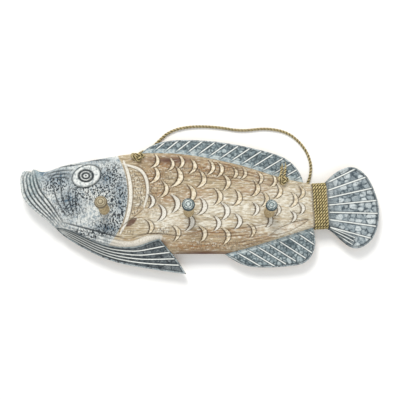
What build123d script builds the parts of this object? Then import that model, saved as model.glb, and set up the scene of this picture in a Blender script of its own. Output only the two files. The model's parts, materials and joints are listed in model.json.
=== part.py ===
"""Carved wooden fish with three coat pegs and a seagrass hanging rope.

The fish lies on its flat back.  X runs from the mouth to the tail, Y to the
dorsal side, Z out of the carved face.  The origin is under the middle of the
fish's bounding box, on the plane of the back.  All sizes are in millimetres.
"""

import os
from math import cos, pi, radians, sin, tan

from build123d import *

# ---------------------------------------------------------------- plank (head and body)
CROWN_THICK = 32.0  # thickness along the middle line
SHOULDER_THICK = 24.5  # thickness of the crowned face at CROWN_HALF_WIDTH from the middle
CROWN_HALF_WIDTH = 95.0
SHOULDER_ROUND = 5.0  # rounding of the carved front edge
FRONT_EDGE_FROM = 21.5  # only the edges of the carved face lie above this height
HALF_LENGTH = 310.0  # more than half of the fish's length
OVERCUT = 1.0  # how far a cut or a block runs on past the surface it must clear

JAW_NOTCH = (-284.0, 56.5)  # between the lower jaw and the upper lip
LIP_TIP = (-278.5, 63.0)
CHIN_END = (-243.0, -34.5)  # where the jaw runs into the pelvic fin
PELVIC_ROOT_END = (-67.5, -53.4)  # rear end of the pelvic fin's seam
BELLY_FRONT = (-46.2, -78.7)
BELLY_REAR = (41.0, -78.7)

# ---------------------------------------------------------------- neck and tail joint
NECK_LEAN = 3.4  # degrees that the tail's axis points towards the dorsal side
NECK_START = (188.5, 0.5)  # where the neck leaves the plank, on its axis
NECK_LENGTH = 24.5
NECK_WIDTH = 69.0
NECK_THICK = 23.0
NECK_MID_Z = 16.5
NECK_ROUND = 8.0
NECK_ROOT = 11.0  # how far the neck's section runs on inside the plank
PLANK_END_UP, PLANK_END_DOWN = 37.5, 34.0  # the plank's end, either side of the neck's axis

TONGUE_WIDTH = 44.0
TONGUE_THICK = 8.0
TONGUE_LENGTH = 40.0
TONGUE_ROOT = 4.0  # how far the tongue runs on inside the tail
GLUE_GAP = 0.05  # all round a glued tongue, peg, tenon, pin or dowel

TAIL_PIN_DIAMETER = 5.0
TAIL_PIN_LENGTH = 22.0
TAIL_PIN_SPREAD = 14.0  # either side of the axis
TAIL_ROOT_UP, TAIL_ROOT_DOWN = 39.5, 40.0
TAIL_THICK = 17.0
TAIL_BOTTOM = 8.0

BINDING_TURNS = 5
BINDING_CORD = 4.6
BINDING_PACK = 0.7  # height of the groove between two turns, as a share of the cord

# ---------------------------------------------------------------- fins
FIN_BOTTOM = 11.0
FIN_THICK = 12.0
FIN_MID_Z = FIN_BOTTOM + FIN_THICK / 2
DOWEL_DIAMETER = 6.0
DOWEL_LENGTH = 28.0

# Middle of each dowel, on the seam between the fin and the plank.
DORSAL_DOWELS = [(-58, 90.5), (-6, 86.5), (50, 75), (104, 59)]
ANAL_DOWELS = [(96, -64), (132, -53), (164, -42.5)]
PELVIC_DOWELS = [(-188, -51), (-148, -64.8), (-104, -65.2)]

# ---------------------------------------------------------------- pegs
PEG_TILT = 12.0  # degrees towards the dorsal side, so that straps stay on
PEG_DIAMETER = 14.0
PEG_BORE_DEPTH = 17.0
PEG_REACH = 42.0  # bare shank outside the plank
TENON_DIAMETER = 8.0
TENON_LENGTH = 9.0
KNOB_LENGTH = 14.5
KNOB_BORE_DEPTH = 9.5
KNOB_FOOT_SHARE = 0.72  # diameter of the knob's foot, as a share of the knob's
KNOB_RIM_HEIGHT = 6.1  # where the knob is widest
KNOB_SHOULDER = (0.93, 11.6)  # share of its radius, and height, where it turns in to its flat top
KNOB_TOP_SHARE = 0.62  # diameter of the knob's flat top, as a share of the knob's

# name, x and y on the face, knob diameter
PEGS = [
    ("front", -159.0, -2.5, 20.5),
    ("middle", -18.7, -6.5, 20.5),
    ("rear", 114.7, -7.5, 18.5),
]

# ---------------------------------------------------------------- hanging rope
ROPE = 4.8  # diameter
ROPE_HOLE = 7.0
ROPE_HOLE_BELOW = 14.0  # how far each rope hole is cut on below its lower end
ROPE_HOLE_ABOVE = 48.0  # and above it
FLOOR = ROPE / 2 + 0.2  # height of the rope's centre where it lies
ARC_SHARE = 0.45  # share of the shorter run that each arc uses up

FRONT_HOLE_TOP = Vector(-104.0, 82.0, 27.0)
FRONT_HOLE_END = Vector(-101.5, 89.8, 9.5)
REAR_HOLE_TOP = Vector(136.5, 41.0, 30.0)
REAR_HOLE_END = Vector(150.5, 35.0, 6.8)

# Recess in the back's upper edge that the rope's rear end tucks into.
REBATE_DEPTH = 7.0
REBATE = [(142, 56), (142, 37), (152, 27.5), (172, 23), (182, 26), (185, 33), (185, 56)]

# The rope from the front hole, round the loop and into the rear hole.
ROPE_ROUTE = [
    (-102.2, 87.6, 14.5),
    (-101.2, 90.8, 7.2),
    (-97.8, 93.6, FLOOR),
    (-84.5, 96.6, FLOOR),
    (-72.0, 110.0, FLOOR),
    (-50.0, 129.8, FLOOR),
    (-12.0, 137.2, FLOOR),
    (32.0, 135.2, FLOOR),
    (70.0, 128.4, FLOOR),
    (112.0, 133.8, FLOOR),
    (150.0, 126.5, FLOOR),
    (176.0, 103.0, FLOOR),
    (188.6, 76.0, FLOOR),
    (187.5, 52.0, FLOOR),
    (180.0, 35.0, FLOOR),
    (167.5, 29.8, FLOOR),
    (156.5, 32.4, FLOOR),
    (150.9, 34.8, 6.2),
    (146.8, 36.6, 13.0),
]

FRONT_KNOT = (24.0, 13.5)  # length and thickness
FRONT_KNOT_PLACE = Vector(-104.0, 83.0, 30.0)
FRONT_KNOT_TURN = -4.0  # degrees from X
REAR_KNOT = (19.0, 12.5)
REAR_KNOT_PLACE = Vector(137.0, 43.5, 33.5)
REAR_KNOT_TURN = -14.0
KNOT_END_ROUND = 0.45  # rounding of a knot's ends, as a share of its thickness

# The two loose ends that stand out of the rear knot and rest on the dorsal fin.
LOOSE_START = Vector(138.0, 46.0, 32.5)
LOOSE_TIP = Vector(141.0, 72.5, 25.8)
LOOSE_SPREAD = 2.6  # either side of their middle


def flat_dir(degrees):
    """A direction in the plane of the back, measured from +X."""
    return Vector(cos(radians(degrees)), sin(radians(degrees)), 0)


def peg_plane(x, y):
    """Where a peg's axis meets the face, with its normal along the peg."""
    tilt = Vector(0, sin(radians(PEG_TILT)), cos(radians(PEG_TILT)))
    return Plane(origin=(x, y, CROWN_THICK), x_dir=(1, 0, 0), z_dir=tilt)


def hole_plane(top, end):
    """A plane at a slanted hole's lower end, with its normal up the hole."""
    return Plane(origin=end, z_dir=(top - end).normalized())


def dowel_places(places):
    """The middle of each dowel, halfway up the fin's edge."""
    return [(x, y, FIN_MID_Z) for x, y in places]


def write(builder, name):
    """Label a finished piece and write it as its own STEP file."""
    builder.part.label = name
    export_step(builder.part, f"parts/{name}.step")


os.makedirs("parts", exist_ok=True)

neck_axis = flat_dir(NECK_LEAN)
neck_side = flat_dir(90 + NECK_LEAN)
neck_start = Vector(*NECK_START, 0)
neck_end = neck_start + neck_axis * NECK_LENGTH
neck_plane = Plane(origin=neck_start, x_dir=neck_side, z_dir=neck_axis)
plank_end_up = neck_start + neck_side * PLANK_END_UP
plank_end_down = neck_start - neck_side * PLANK_END_DOWN
pin_middle = neck_start + neck_axis * (NECK_LENGTH / 2) + Vector(0, 0, NECK_MID_Z)
tail_pin_places = [pin_middle + neck_side * TAIL_PIN_SPREAD, pin_middle - neck_side * TAIL_PIN_SPREAD]

# ---------------------------------------------------------------- body_plank
with BuildSketch() as plank_outline:
    with BuildLine():
        Line(JAW_NOTCH, LIP_TIP)
        Spline(
            LIP_TIP,
            (-264, 58.5),
            (-234, 67),
            (-190, 76.3),
            (-140, 85.3),
            (-96, 89.8),
            (-40, 89.2),
            (20, 80.5),
            (80, 66),
            (130, 50.5),
            (165, 42.2),
            plank_end_up,
        )
        Line(plank_end_up, plank_end_down)
        Spline(plank_end_down, (135, -51.5), (92, -65), BELLY_REAR)
        Line(BELLY_REAR, BELLY_FRONT)
        Line(BELLY_FRONT, PELVIC_ROOT_END)
        Spline(
            PELVIC_ROOT_END,
            (-84, -58),
            (-101, -64.3),
            (-125, -66.8),
            (-159, -62.8),
            (-184, -53.5),
            (-212, -40.5),
            CHIN_END,
        )
        Spline(
            CHIN_END,
            (-265, -15),
            (-285, 2),
            (-296.3, 19),
            (-300, 41),
            (-298.6, 54),
            (-293.6, 60.4),
            (-288, 60),
            JAW_NOTCH,
        )
    make_face()

with BuildPart() as plank_block:
    add(plank_outline.sketch)
    extrude(amount=CROWN_THICK)

with BuildPart() as body_plank:
    add(plank_outline.sketch)
    extrude(amount=CROWN_THICK + OVERCUT)
    with BuildSketch(Plane.YZ):
        with BuildLine():
            Polyline(
                (-CROWN_HALF_WIDTH, SHOULDER_THICK),
                (-CROWN_HALF_WIDTH, 0),
                (CROWN_HALF_WIDTH, 0),
                (CROWN_HALF_WIDTH, SHOULDER_THICK),
            )
            ThreePointArc(
                (-CROWN_HALF_WIDTH, SHOULDER_THICK),
                (0, CROWN_THICK),
                (CROWN_HALF_WIDTH, SHOULDER_THICK),
            )
        make_face()
    extrude(amount=HALF_LENGTH, both=True, mode=Mode.INTERSECT)
    front_edges = body_plank.edges().filter_by(lambda e: e.center().Z > FRONT_EDGE_FROM)
    fillet(front_edges, SHOULDER_ROUND)

    # The neck that the binding lies on, narrower and thinner than the plank.
    with BuildSketch(neck_plane.offset(-NECK_ROOT)):
        with Locations((0, NECK_MID_Z)):
            RectangleRounded(NECK_WIDTH, NECK_THICK, NECK_ROUND)
    extrude(amount=NECK_ROOT + NECK_LENGTH)

    # Slot for the tail's tongue, open at the neck's end.
    with BuildSketch(neck_plane.offset(NECK_LENGTH)):
        with Locations((0, NECK_MID_Z)):
            Rectangle(TONGUE_WIDTH + 2 * GLUE_GAP, TONGUE_THICK + 2 * GLUE_GAP)
    extrude(amount=-(TONGUE_LENGTH + OVERCUT), mode=Mode.SUBTRACT)
    with Locations(*tail_pin_places):
        Cylinder(TAIL_PIN_DIAMETER / 2 + GLUE_GAP, 2 * CROWN_THICK, mode=Mode.SUBTRACT)

    # Slanted holes for the rope, and the rebate that its rear end tucks into.
    for top, end in ((FRONT_HOLE_TOP, FRONT_HOLE_END), (REAR_HOLE_TOP, REAR_HOLE_END)):
        with BuildSketch(hole_plane(top, end).offset(-ROPE_HOLE_BELOW)):
            Circle(ROPE_HOLE / 2)
        extrude(amount=ROPE_HOLE_BELOW + ROPE_HOLE_ABOVE, mode=Mode.SUBTRACT)
    with BuildSketch():
        with BuildLine():
            Polyline(*REBATE, close=True)
        make_face()
    extrude(amount=REBATE_DEPTH, mode=Mode.SUBTRACT)

    # Blind bores for the pegs.
    for peg_name, peg_x, peg_y, knob_diameter in PEGS:
        with BuildSketch(peg_plane(peg_x, peg_y).offset(-PEG_BORE_DEPTH)):
            Circle(PEG_DIAMETER / 2 + GLUE_GAP)
        extrude(amount=PEG_BORE_DEPTH + CROWN_THICK, mode=Mode.SUBTRACT)

    # Bores for the fins' dowels.
    with Locations(*dowel_places(DORSAL_DOWELS + ANAL_DOWELS + PELVIC_DOWELS)):
        Cylinder(
            DOWEL_DIAMETER / 2 + GLUE_GAP,
            DOWEL_LENGTH + OVERCUT,
            rotation=(90, 0, 0),
            mode=Mode.SUBTRACT,
        )
write(body_plank, "body_plank")


# ---------------------------------------------------------------- fins
def fit_to_plank(dowels):
    """Cut a fin board back to the plank's edge and bore it for its dowels."""
    add(plank_block.part, mode=Mode.SUBTRACT)
    with Locations(*dowel_places(dowels)):
        Cylinder(
            DOWEL_DIAMETER / 2 + GLUE_GAP,
            DOWEL_LENGTH + OVERCUT,
            rotation=(90, 0, 0),
            mode=Mode.SUBTRACT,
        )


with BuildPart() as dorsal_fin:
    with BuildSketch(Plane.XY.offset(FIN_BOTTOM)):
        with BuildLine():
            Spline(
                (-98.5, 89.9),
                (-79, 103.5),
                (-55, 110.3),
                (-19, 112.3),
                (28, 109.3),
                (72, 102),
                (114, 92),
                (143, 81),
                (162, 64.5),
                (172.5, 41.5),
            )
            Polyline((172.5, 41.5), (165, 30), (60, 55), (-60, 75), (-98.5, 89.9))
        make_face()
    extrude(amount=FIN_THICK)
    fit_to_plank(DORSAL_DOWELS)
write(dorsal_fin, "dorsal_fin")

with BuildPart() as anal_fin:
    with BuildSketch(Plane.XY.offset(FIN_BOTTOM)):
        with BuildLine():
            Spline(
                BELLY_REAR,
                (57, -89.5),
                (76, -98),
                (114, -101.3),
                (155, -98.5),
                (178, -91.5),
                (190.5, -74),
                (193.3, -55),
                (190.0, -38),
                (188.5, -33.9),
            )
            Polyline((188.5, -33.9), (150, -30), (80, -50), BELLY_REAR)
        make_face()
    extrude(amount=FIN_THICK)
    fit_to_plank(ANAL_DOWELS)
write(anal_fin, "anal_fin")

with BuildPart() as pelvic_fin:
    with BuildSketch(Plane.XY.offset(FIN_BOTTOM)):
        with BuildLine():
            Spline(
                CHIN_END,
                (-224, -51.5),
                (-206, -63),
                (-174, -80),
                (-134, -94.3),
                (-94, -102),
                (-54, -108.3),
                (-23.3, -112.3),
            )
            Spline((-23.3, -112.3), (-46.2, -78.7), PELVIC_ROOT_END)
            Polyline(PELVIC_ROOT_END, (-120, -50), (-200, -25), CHIN_END)
        make_face()
    extrude(amount=FIN_THICK)
    fit_to_plank(PELVIC_DOWELS)
write(pelvic_fin, "pelvic_fin")

for dowels_name, places in (
    ("dorsal_fin_dowels", DORSAL_DOWELS),
    ("anal_fin_dowels", ANAL_DOWELS),
    ("pelvic_fin_dowels", PELVIC_DOWELS),
):
    with BuildPart() as dowels:
        with Locations(*dowel_places(places)):
            Cylinder(DOWEL_DIAMETER / 2, DOWEL_LENGTH, rotation=(90, 0, 0))
    write(dowels, dowels_name)

# ---------------------------------------------------------------- tail_fin
tail_up = neck_end + neck_side * TAIL_ROOT_UP
tail_down = neck_end - neck_side * TAIL_ROOT_DOWN

with BuildPart() as tail_fin:
    with BuildSketch(Plane.XY.offset(TAIL_BOTTOM)):
        with BuildLine():
            Spline(
                tail_up,
                (225.5, 55.5),
                (239, 63.8),
                (252, 67),
                (264, 64),
                (277, 54),
                (291, 30),
                (299.7, 0),
                (298.5, -28),
                (289.5, -52),
                (274, -66),
                (260, -69.3),
                (240, -58.5),
                tail_down,
            )
            Line(tail_down, tail_up)
        make_face()
    extrude(amount=TAIL_THICK)
    with BuildSketch(neck_plane.offset(NECK_LENGTH + TONGUE_ROOT)):
        with Locations((0, NECK_MID_Z)):
            Rectangle(TONGUE_WIDTH, TONGUE_THICK)
    extrude(amount=-(TONGUE_LENGTH + TONGUE_ROOT))
    with Locations(*tail_pin_places):
        Cylinder(TAIL_PIN_DIAMETER / 2 + GLUE_GAP, 2 * CROWN_THICK, mode=Mode.SUBTRACT)
write(tail_fin, "tail_fin")

with BuildPart() as tail_pins:
    with Locations(*tail_pin_places):
        Cylinder(TAIL_PIN_DIAMETER / 2, TAIL_PIN_LENGTH)
write(tail_pins, "tail_pins")

# ---------------------------------------------------------------- tail_binding
# One closed ring with a rounded ridge for each turn, swept round the neck.
binding_start = (NECK_LENGTH - BINDING_TURNS * BINDING_CORD) / 2
with BuildSketch(neck_plane.offset(binding_start)) as neck_section:
    with Locations((0, NECK_MID_Z)):
        RectangleRounded(NECK_WIDTH, NECK_THICK, NECK_ROUND)
round_neck = neck_section.sketch.face().outer_wire()
with BuildPart() as tail_binding:
    with BuildSketch(Plane(origin=round_neck @ 0, x_dir=neck_axis, z_dir=round_neck % 0)):
        with BuildLine():
            Polyline(
                (BINDING_TURNS * BINDING_CORD, BINDING_PACK * BINDING_CORD),
                (BINDING_TURNS * BINDING_CORD, 0),
                (0, 0),
                (0, BINDING_PACK * BINDING_CORD),
            )
            for turn in range(BINDING_TURNS):
                ThreePointArc(
                    (turn * BINDING_CORD, BINDING_PACK * BINDING_CORD),
                    ((turn + 0.5) * BINDING_CORD, BINDING_CORD),
                    ((turn + 1) * BINDING_CORD, BINDING_PACK * BINDING_CORD),
                )
        make_face()
    sweep(path=round_neck)
write(tail_binding, "tail_binding")

# ---------------------------------------------------------------- pegs
for peg_name, peg_x, peg_y, knob_diameter in PEGS:
    foot = peg_plane(peg_x, peg_y)
    with BuildPart() as shank:
        with BuildSketch(foot.offset(-PEG_BORE_DEPTH)):
            Circle(PEG_DIAMETER / 2)
        extrude(amount=PEG_BORE_DEPTH + PEG_REACH)
        with BuildSketch(foot.offset(PEG_REACH)):
            Circle(TENON_DIAMETER / 2)
        extrude(amount=TENON_LENGTH)
    write(shank, f"{peg_name}_peg_shank")

    # Half of the knob's section, turned about the peg's axis.
    knob_foot = foot.offset(PEG_REACH)
    section = Plane(origin=knob_foot.origin, x_dir=foot.x_dir, z_dir=-foot.y_dir)
    radius = knob_diameter / 2
    bore = TENON_DIAMETER / 2 + GLUE_GAP
    with BuildPart() as knob:
        with BuildSketch(section):
            with BuildLine():
                Polyline(
                    (KNOB_TOP_SHARE * radius, KNOB_LENGTH),
                    (0, KNOB_LENGTH),
                    (0, KNOB_BORE_DEPTH),
                    (bore, KNOB_BORE_DEPTH),
                    (bore, 0),
                    (KNOB_FOOT_SHARE * radius, 0),
                )
                Spline(
                    (KNOB_FOOT_SHARE * radius, 0),
                    (radius, KNOB_RIM_HEIGHT),
                    (KNOB_SHOULDER[0] * radius, KNOB_SHOULDER[1]),
                    (KNOB_TOP_SHARE * radius, KNOB_LENGTH),
                )
            make_face()
        revolve(axis=Axis(knob_foot.origin, foot.z_dir))
    write(knob, f"{peg_name}_peg_knob")


# ---------------------------------------------------------------- hanging_rope
def arc_radii(points):
    """Radius at each corner: as large as the two runs beside it allow."""
    radii = []
    for before, corner, after in zip(points, points[1:], points[2:]):
        run_in, run_out = corner - before, after - corner
        turn = radians(run_in.get_angle(run_out))
        radii.append(ARC_SHARE * min(run_in.length, run_out.length) / tan(turn / 2))
    return radii


route = [Vector(*point) for point in ROPE_ROUTE]
bend_radii = arc_radii(route)
print("rope bend radii:", [round(r, 1) for r in bend_radii])

with BuildPart() as hanging_rope:
    with BuildLine() as rope_line:
        FilletPolyline(*route, radius=bend_radii)
    with BuildSketch(Plane(origin=route[0], z_dir=route[1] - route[0])):
        Circle(ROPE / 2)
    sweep(path=rope_line.wire())
write(hanging_rope, "hanging_rope")

rope_length = rope_line.wire().length
tube_volume = pi * (ROPE / 2) ** 2 * rope_length
print(f"rope length {rope_length:.1f}, volume {hanging_rope.part.volume:.0f} of {tube_volume:.0f}")


# ---------------------------------------------------------------- knots
def knot_lump(size, place, turn):
    """A round-ended lump that lies along the plank's edge, seated on its face."""
    length, thickness = size
    end_round = KNOT_END_ROUND * thickness
    with BuildSketch(Plane(origin=place, z_dir=flat_dir(turn))) as section:
        Circle(thickness / 2)
    extrude(section.sketch, amount=length / 2, both=True)
    fillet(edges().filter_by(GeomType.CIRCLE), end_round)
    add(body_plank.part, mode=Mode.SUBTRACT)


def knot_stem(end, beyond, place):
    """The short length of rope from a rope's end in its hole up into the knot."""
    with BuildSketch(Plane(origin=end, z_dir=end - beyond)) as section:
        Circle(ROPE / 2)
    extrude(section.sketch, amount=(place - end).length)


with BuildPart() as front_knot:
    knot_lump(FRONT_KNOT, FRONT_KNOT_PLACE, FRONT_KNOT_TURN)
    knot_stem(route[0], route[1], FRONT_KNOT_PLACE)
write(front_knot, "front_knot")

with BuildPart() as rear_knot:
    knot_lump(REAR_KNOT, REAR_KNOT_PLACE, REAR_KNOT_TURN)
    knot_stem(route[-1], route[-2], REAR_KNOT_PLACE)
    with BuildSketch(Plane(origin=LOOSE_START, x_dir=(1, 0, 0), z_dir=LOOSE_TIP - LOOSE_START)):
        with Locations((-LOOSE_SPREAD, 0), (LOOSE_SPREAD, 0)):
            Circle(ROPE / 2)
    extrude(amount=(LOOSE_TIP - LOOSE_START).length)
write(rear_knot, "rear_knot")
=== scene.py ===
"""A carved and painted wooden fish for the wall, with three coat pegs and a seagrass rope.

Boards, pegs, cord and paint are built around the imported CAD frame. Lengths are in mm until a mesh is made.
"""
import json
import math

import bmesh
import bpy
import numpy as np
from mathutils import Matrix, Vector
from mathutils.geometry import delaunay_2d_cdt
from mathutils.kdtree import KDTree


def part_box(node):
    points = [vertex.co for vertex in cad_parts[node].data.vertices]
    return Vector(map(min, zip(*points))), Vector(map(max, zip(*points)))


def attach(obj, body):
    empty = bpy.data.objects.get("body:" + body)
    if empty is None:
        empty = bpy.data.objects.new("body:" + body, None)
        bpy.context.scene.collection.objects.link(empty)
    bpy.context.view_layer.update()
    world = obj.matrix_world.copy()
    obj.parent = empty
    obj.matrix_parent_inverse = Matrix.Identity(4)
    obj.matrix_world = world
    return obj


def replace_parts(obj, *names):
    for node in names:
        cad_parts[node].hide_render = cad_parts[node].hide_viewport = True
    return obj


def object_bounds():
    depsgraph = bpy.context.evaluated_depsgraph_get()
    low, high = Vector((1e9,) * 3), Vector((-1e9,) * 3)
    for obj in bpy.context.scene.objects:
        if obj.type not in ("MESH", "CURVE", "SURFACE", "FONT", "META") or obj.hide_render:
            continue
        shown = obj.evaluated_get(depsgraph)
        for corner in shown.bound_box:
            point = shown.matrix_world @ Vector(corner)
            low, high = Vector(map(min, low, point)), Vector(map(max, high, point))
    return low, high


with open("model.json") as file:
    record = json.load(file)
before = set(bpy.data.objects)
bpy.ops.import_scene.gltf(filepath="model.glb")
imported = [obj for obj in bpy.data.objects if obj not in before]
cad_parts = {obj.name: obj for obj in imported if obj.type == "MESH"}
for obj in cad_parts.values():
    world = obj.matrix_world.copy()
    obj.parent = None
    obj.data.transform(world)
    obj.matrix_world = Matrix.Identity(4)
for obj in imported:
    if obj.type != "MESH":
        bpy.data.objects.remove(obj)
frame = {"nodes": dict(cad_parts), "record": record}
cad_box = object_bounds()

MM = 0.001
BODY = "root"
PEG_ENDS = ("front", "middle", "rear")


# ---------------------------------------------------------------- measures taken from the frame

def box(node):
    """Lowest and highest corner of a CAD node, in mm."""
    low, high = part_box(node)
    return np.array(low) / MM, np.array(high) / MM


def middle_of(node):
    """The middle of a CAD node's box."""
    return sum(box(node)) / 2


CORD_NODES = frame["record"]["physics"]["cord_nodes"]
CORNERS = np.array([box(node) for node in frame["nodes"] if node not in CORD_NODES])
FISH_LOW = CORNERS[:, 0].min(axis=0)
FISH_HIGH = CORNERS[:, 1].max(axis=0)
MIDDLE = ((FISH_LOW + FISH_HIGH) / 2)[:2]
UNIT = (FISH_HIGH[0] - FISH_LOW[0]) / 100      # one hundredth of the fish's length


def spot(*points):
    """Places on the fish, from hundredths of its length along and up, counted from its middle."""
    return MIDDLE + UNIT * np.array(points, float).reshape(-1, 2)


# ---------------------------------------------------------------- plane geometry

def ease(share):
    """A smooth step from 0 to 1 of a share that is cut off at both ends."""
    share = np.clip(share, 0, 1)
    return share * share * (3 - 2 * share)


def rise(value, start, end):
    """0 at start, 1 at end and smooth between them; start may be the larger."""
    return ease((value - start) / (end - start))


def hill(value, middle, width, power=2):
    """1 where value is at its middle, falling to 0 on both sides of it over a width."""
    return np.exp(-((value - middle) / width) ** power)


def ripple(x, y, size, seed, count=64):
    """Smooth random heights from -1 to 1 whose bumps are size mm wide."""
    heights = np.random.default_rng(seed).uniform(-1, 1, (count, count))
    column, row = np.floor(x / size).astype(int), np.floor(y / size).astype(int)
    right, up = ease(x / size - column), ease(y / size - row)
    rows = []
    for k in (row % count, (row + 1) % count):
        rows.append(heights[column % count, k] * (1 - right) + heights[(column + 1) % count, k] * right)
    return rows[0] * (1 - up) + rows[1] * up


def smooth(points, parts=8):
    """Points of a smooth curve that passes through a few chosen ones."""
    points = np.asarray(points, float)
    long = np.vstack([2 * points[0] - points[1], points, 2 * points[-1] - points[-2]])
    share = (np.arange(parts) / parts)[:, None]
    runs = []
    for a, b, c, d in zip(long, long[1:], long[2:], long[3:]):
        slope = (c - a) / 2
        bend = a - 2.5 * b + 2 * c - 0.5 * d
        twist = 0.5 * (d - a) + 1.5 * (b - c)
        runs.append(b + share * slope + share ** 2 * bend + share ** 3 * twist)
    return np.vstack(runs + [points[-1:]])


def beside(xy, path, reach):
    """How far points within reach of a path lie from it, and how far along it."""
    line = smooth(path)
    close = np.all((xy > line.min(axis=0) - reach) & (xy < line.max(axis=0) + reach), axis=1)
    gap, along = np.full(len(xy), 1e6), np.zeros(len(xy))
    if close.any():
        start, run = line[:-1], np.diff(line, axis=0)
        step = np.hypot(*run.T)
        offset = xy[close][:, None] - start
        share = np.clip((offset * run).sum(axis=2) / step ** 2, 0, 1)
        away = offset - share[..., None] * run
        distance = np.hypot(away[..., 0], away[..., 1])
        best = distance.argmin(axis=1)
        row = np.arange(len(best))
        before = np.concatenate([[0], np.cumsum(step)])
        gap[close] = distance[row, best]
        along[close] = (before[best] + share[row, best] * step[best]) / before[-1]
    return gap, along


def within(xy, loop):
    """Whether points lie inside a closed loop."""
    inside = np.zeros(len(xy), bool)
    for (x1, y1), (x2, y2) in zip(loop, np.roll(loop, -1, axis=0)):
        if y1 != y2:
            crosses = (y1 > xy[:, 1]) != (y2 > xy[:, 1])
            inside ^= crosses & (xy[:, 0] < (x2 - x1) * (xy[:, 1] - y1) / (y2 - y1) + x1)
    return inside


def spaced(line, count):
    """The same line with evenly spaced points."""
    along = np.concatenate([[0], np.cumsum(np.linalg.norm(np.diff(line, axis=0), axis=1))])
    places = np.linspace(0, along[-1], count)
    return np.column_stack([np.interp(places, along, column) for column in line.T])


def between(one, other, share):
    """A line that lies a share of the way from one line to another."""
    return spaced(one, 9) * (1 - share) + spaced(other, 9) * share


def bowed(start, end, bow=0.0):
    """A line between two places on the fish that bows to its left by a share of its length."""
    start, end = spot(start, end)
    run = end - start
    share = np.linspace(0, 1, 5)[:, None]
    return start + share * run + 4 * bow * share * (1 - share) * np.array([-run[1], run[0]])


def leaf(start, end, width):
    """A closed leaf between two places on the fish, as wide as a share of its length."""
    return np.vstack([bowed(start, end, width / 2)[:-1], bowed(end, start, width / 2)[:-1]])


def arc(centre, radius, start, end, count=9):
    """Points of an arc on the fish, between two directions in degrees."""
    turn = np.radians(np.linspace(start, end, count))
    return spot(centre)[0] + UNIT * radius * np.column_stack([np.cos(turn), np.sin(turn)])


def stretch(loop, start, end):
    """The part of an anticlockwise loop between the points nearest to two places."""
    first = np.hypot(*(loop - start).T).argmin()
    last = np.hypot(*(loop - end).T).argmin()
    last += len(loop) if last < first else 0
    return loop[np.arange(first, last + 1) % len(loop)]


def even(loop, step, corner=math.radians(35)):
    """A closed loop again, with points about step apart and its corners kept."""
    loop = loop[np.hypot(*(loop - np.roll(loop, 1, axis=0)).T) > 0.05]
    ahead = np.roll(loop, -1, axis=0) - loop
    heading = np.arctan2(ahead[:, 1], ahead[:, 0])
    turn = (heading - np.roll(heading, 1) + math.pi) % (2 * math.pi) - math.pi
    breaks = np.nonzero(np.abs(turn) > corner)[0]
    breaks = breaks if len(breaks) else np.array([0])
    made = []
    for first, last in zip(breaks, np.append(breaks[1:], breaks[0] + len(loop))):
        run = loop[np.arange(first, last + 1) % len(loop)]
        long = np.hypot(*np.diff(run, axis=0).T).sum()
        made.append(spaced(run, max(1, round(long / step)) + 1)[:-1])
    return np.vstack(made)


def outward(loop):
    """Unit directions out of an anticlockwise loop at each of its points."""
    along = np.roll(loop, -1, axis=0) - np.roll(loop, 1, axis=0)
    return np.column_stack([along[:, 1], -along[:, 0]]) / np.hypot(*along.T)[:, None]


def lattice(low, high, pitch):
    """Points of an even triangular lattice over a rectangle."""
    rows = np.arange(low[1], high[1], pitch * math.sqrt(0.75))
    x, y = np.meshgrid(np.arange(low[0], high[0], pitch), rows)
    x[::2] += pitch / 2
    return np.column_stack([x.ravel(), y.ravel()])


class Nearest:
    """Finds the nearest of many points in the plane."""

    def __init__(self, points):
        self.tree = KDTree(len(points))
        for index, (x, y) in enumerate(points):
            self.tree.insert((x, y, 0), index)
        self.tree.balance()

    def gap(self, xy):
        return np.array([self.tree.find((x, y, 0))[2] for x, y in xy])

    def two(self, xy):
        """Index of the nearest point, and the distances of the two nearest ones."""
        found = [self.tree.find_n((x, y, 0), 2) for x, y in xy]
        return [np.array(row) for row in zip(*((one[1], one[2], other[2]) for one, other in found))]


def outline(node, height):
    """The outer loop in which a level plane cuts a CAD node, anticlockwise."""
    mesh = frame["nodes"][node].data
    mesh.calc_loop_triangles()
    places = np.array([vertex.co for vertex in mesh.vertices]) / MM
    above = places[:, 2] > height
    follows = {}
    for triangle in mesh.loop_triangles:
        corners = triangle.vertices
        ends = {}
        for first, second in zip(corners, (*corners[1:], corners[0])):
            if above[first] != above[second]:
                share = (height - places[first, 2]) / (places[second, 2] - places[first, 2])
                place = places[first] + share * (places[second] - places[first])
                ends[bool(above[first])] = tuple(np.round(place[:2], 3))
        if ends:
            follows[ends[True]] = ends[False]
    loops = []
    while follows:
        start = next(iter(follows))
        loop = [start]
        while loop[-1] in follows:
            loop.append(follows.pop(loop[-1]))
        loops.append(np.array(loop[:-1]))
    return max(loops, key=len)


# ---------------------------------------------------------------- meshes

def placed(name, data):
    """A new object in the scene that shows the given data."""
    made = bpy.data.objects.new(name, data)
    bpy.context.scene.collection.objects.link(made)
    return made


def piece_from(name, places, faces, material):
    """A smooth-shaded mesh piece that rides on the fish, from places in mm."""
    mesh = bpy.data.meshes.new(name)
    mesh.from_pydata((np.asarray(places) * MM).tolist(), [], faces)
    mesh.materials.append(material)
    shell = bmesh.new()
    shell.from_mesh(mesh)
    bmesh.ops.recalc_face_normals(shell, faces=shell.faces)
    shell.to_mesh(mesh)
    shell.free()
    mesh.shade_smooth()
    piece = placed(name, mesh)
    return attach(piece, BODY)


def places_of(piece):
    """A piece's points, in mm."""
    flat = np.empty(3 * len(piece.data.vertices))
    piece.data.vertices.foreach_get("co", flat)
    return flat.reshape(-1, 3) / MM


def store(piece, name, amounts):
    """Keeps one amount per point, which the piece's material reads by name."""
    made = piece.data.attributes.new(name, "FLOAT", "POINT")
    made.data.foreach_set("value", np.asarray(amounts, np.float32))


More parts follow.
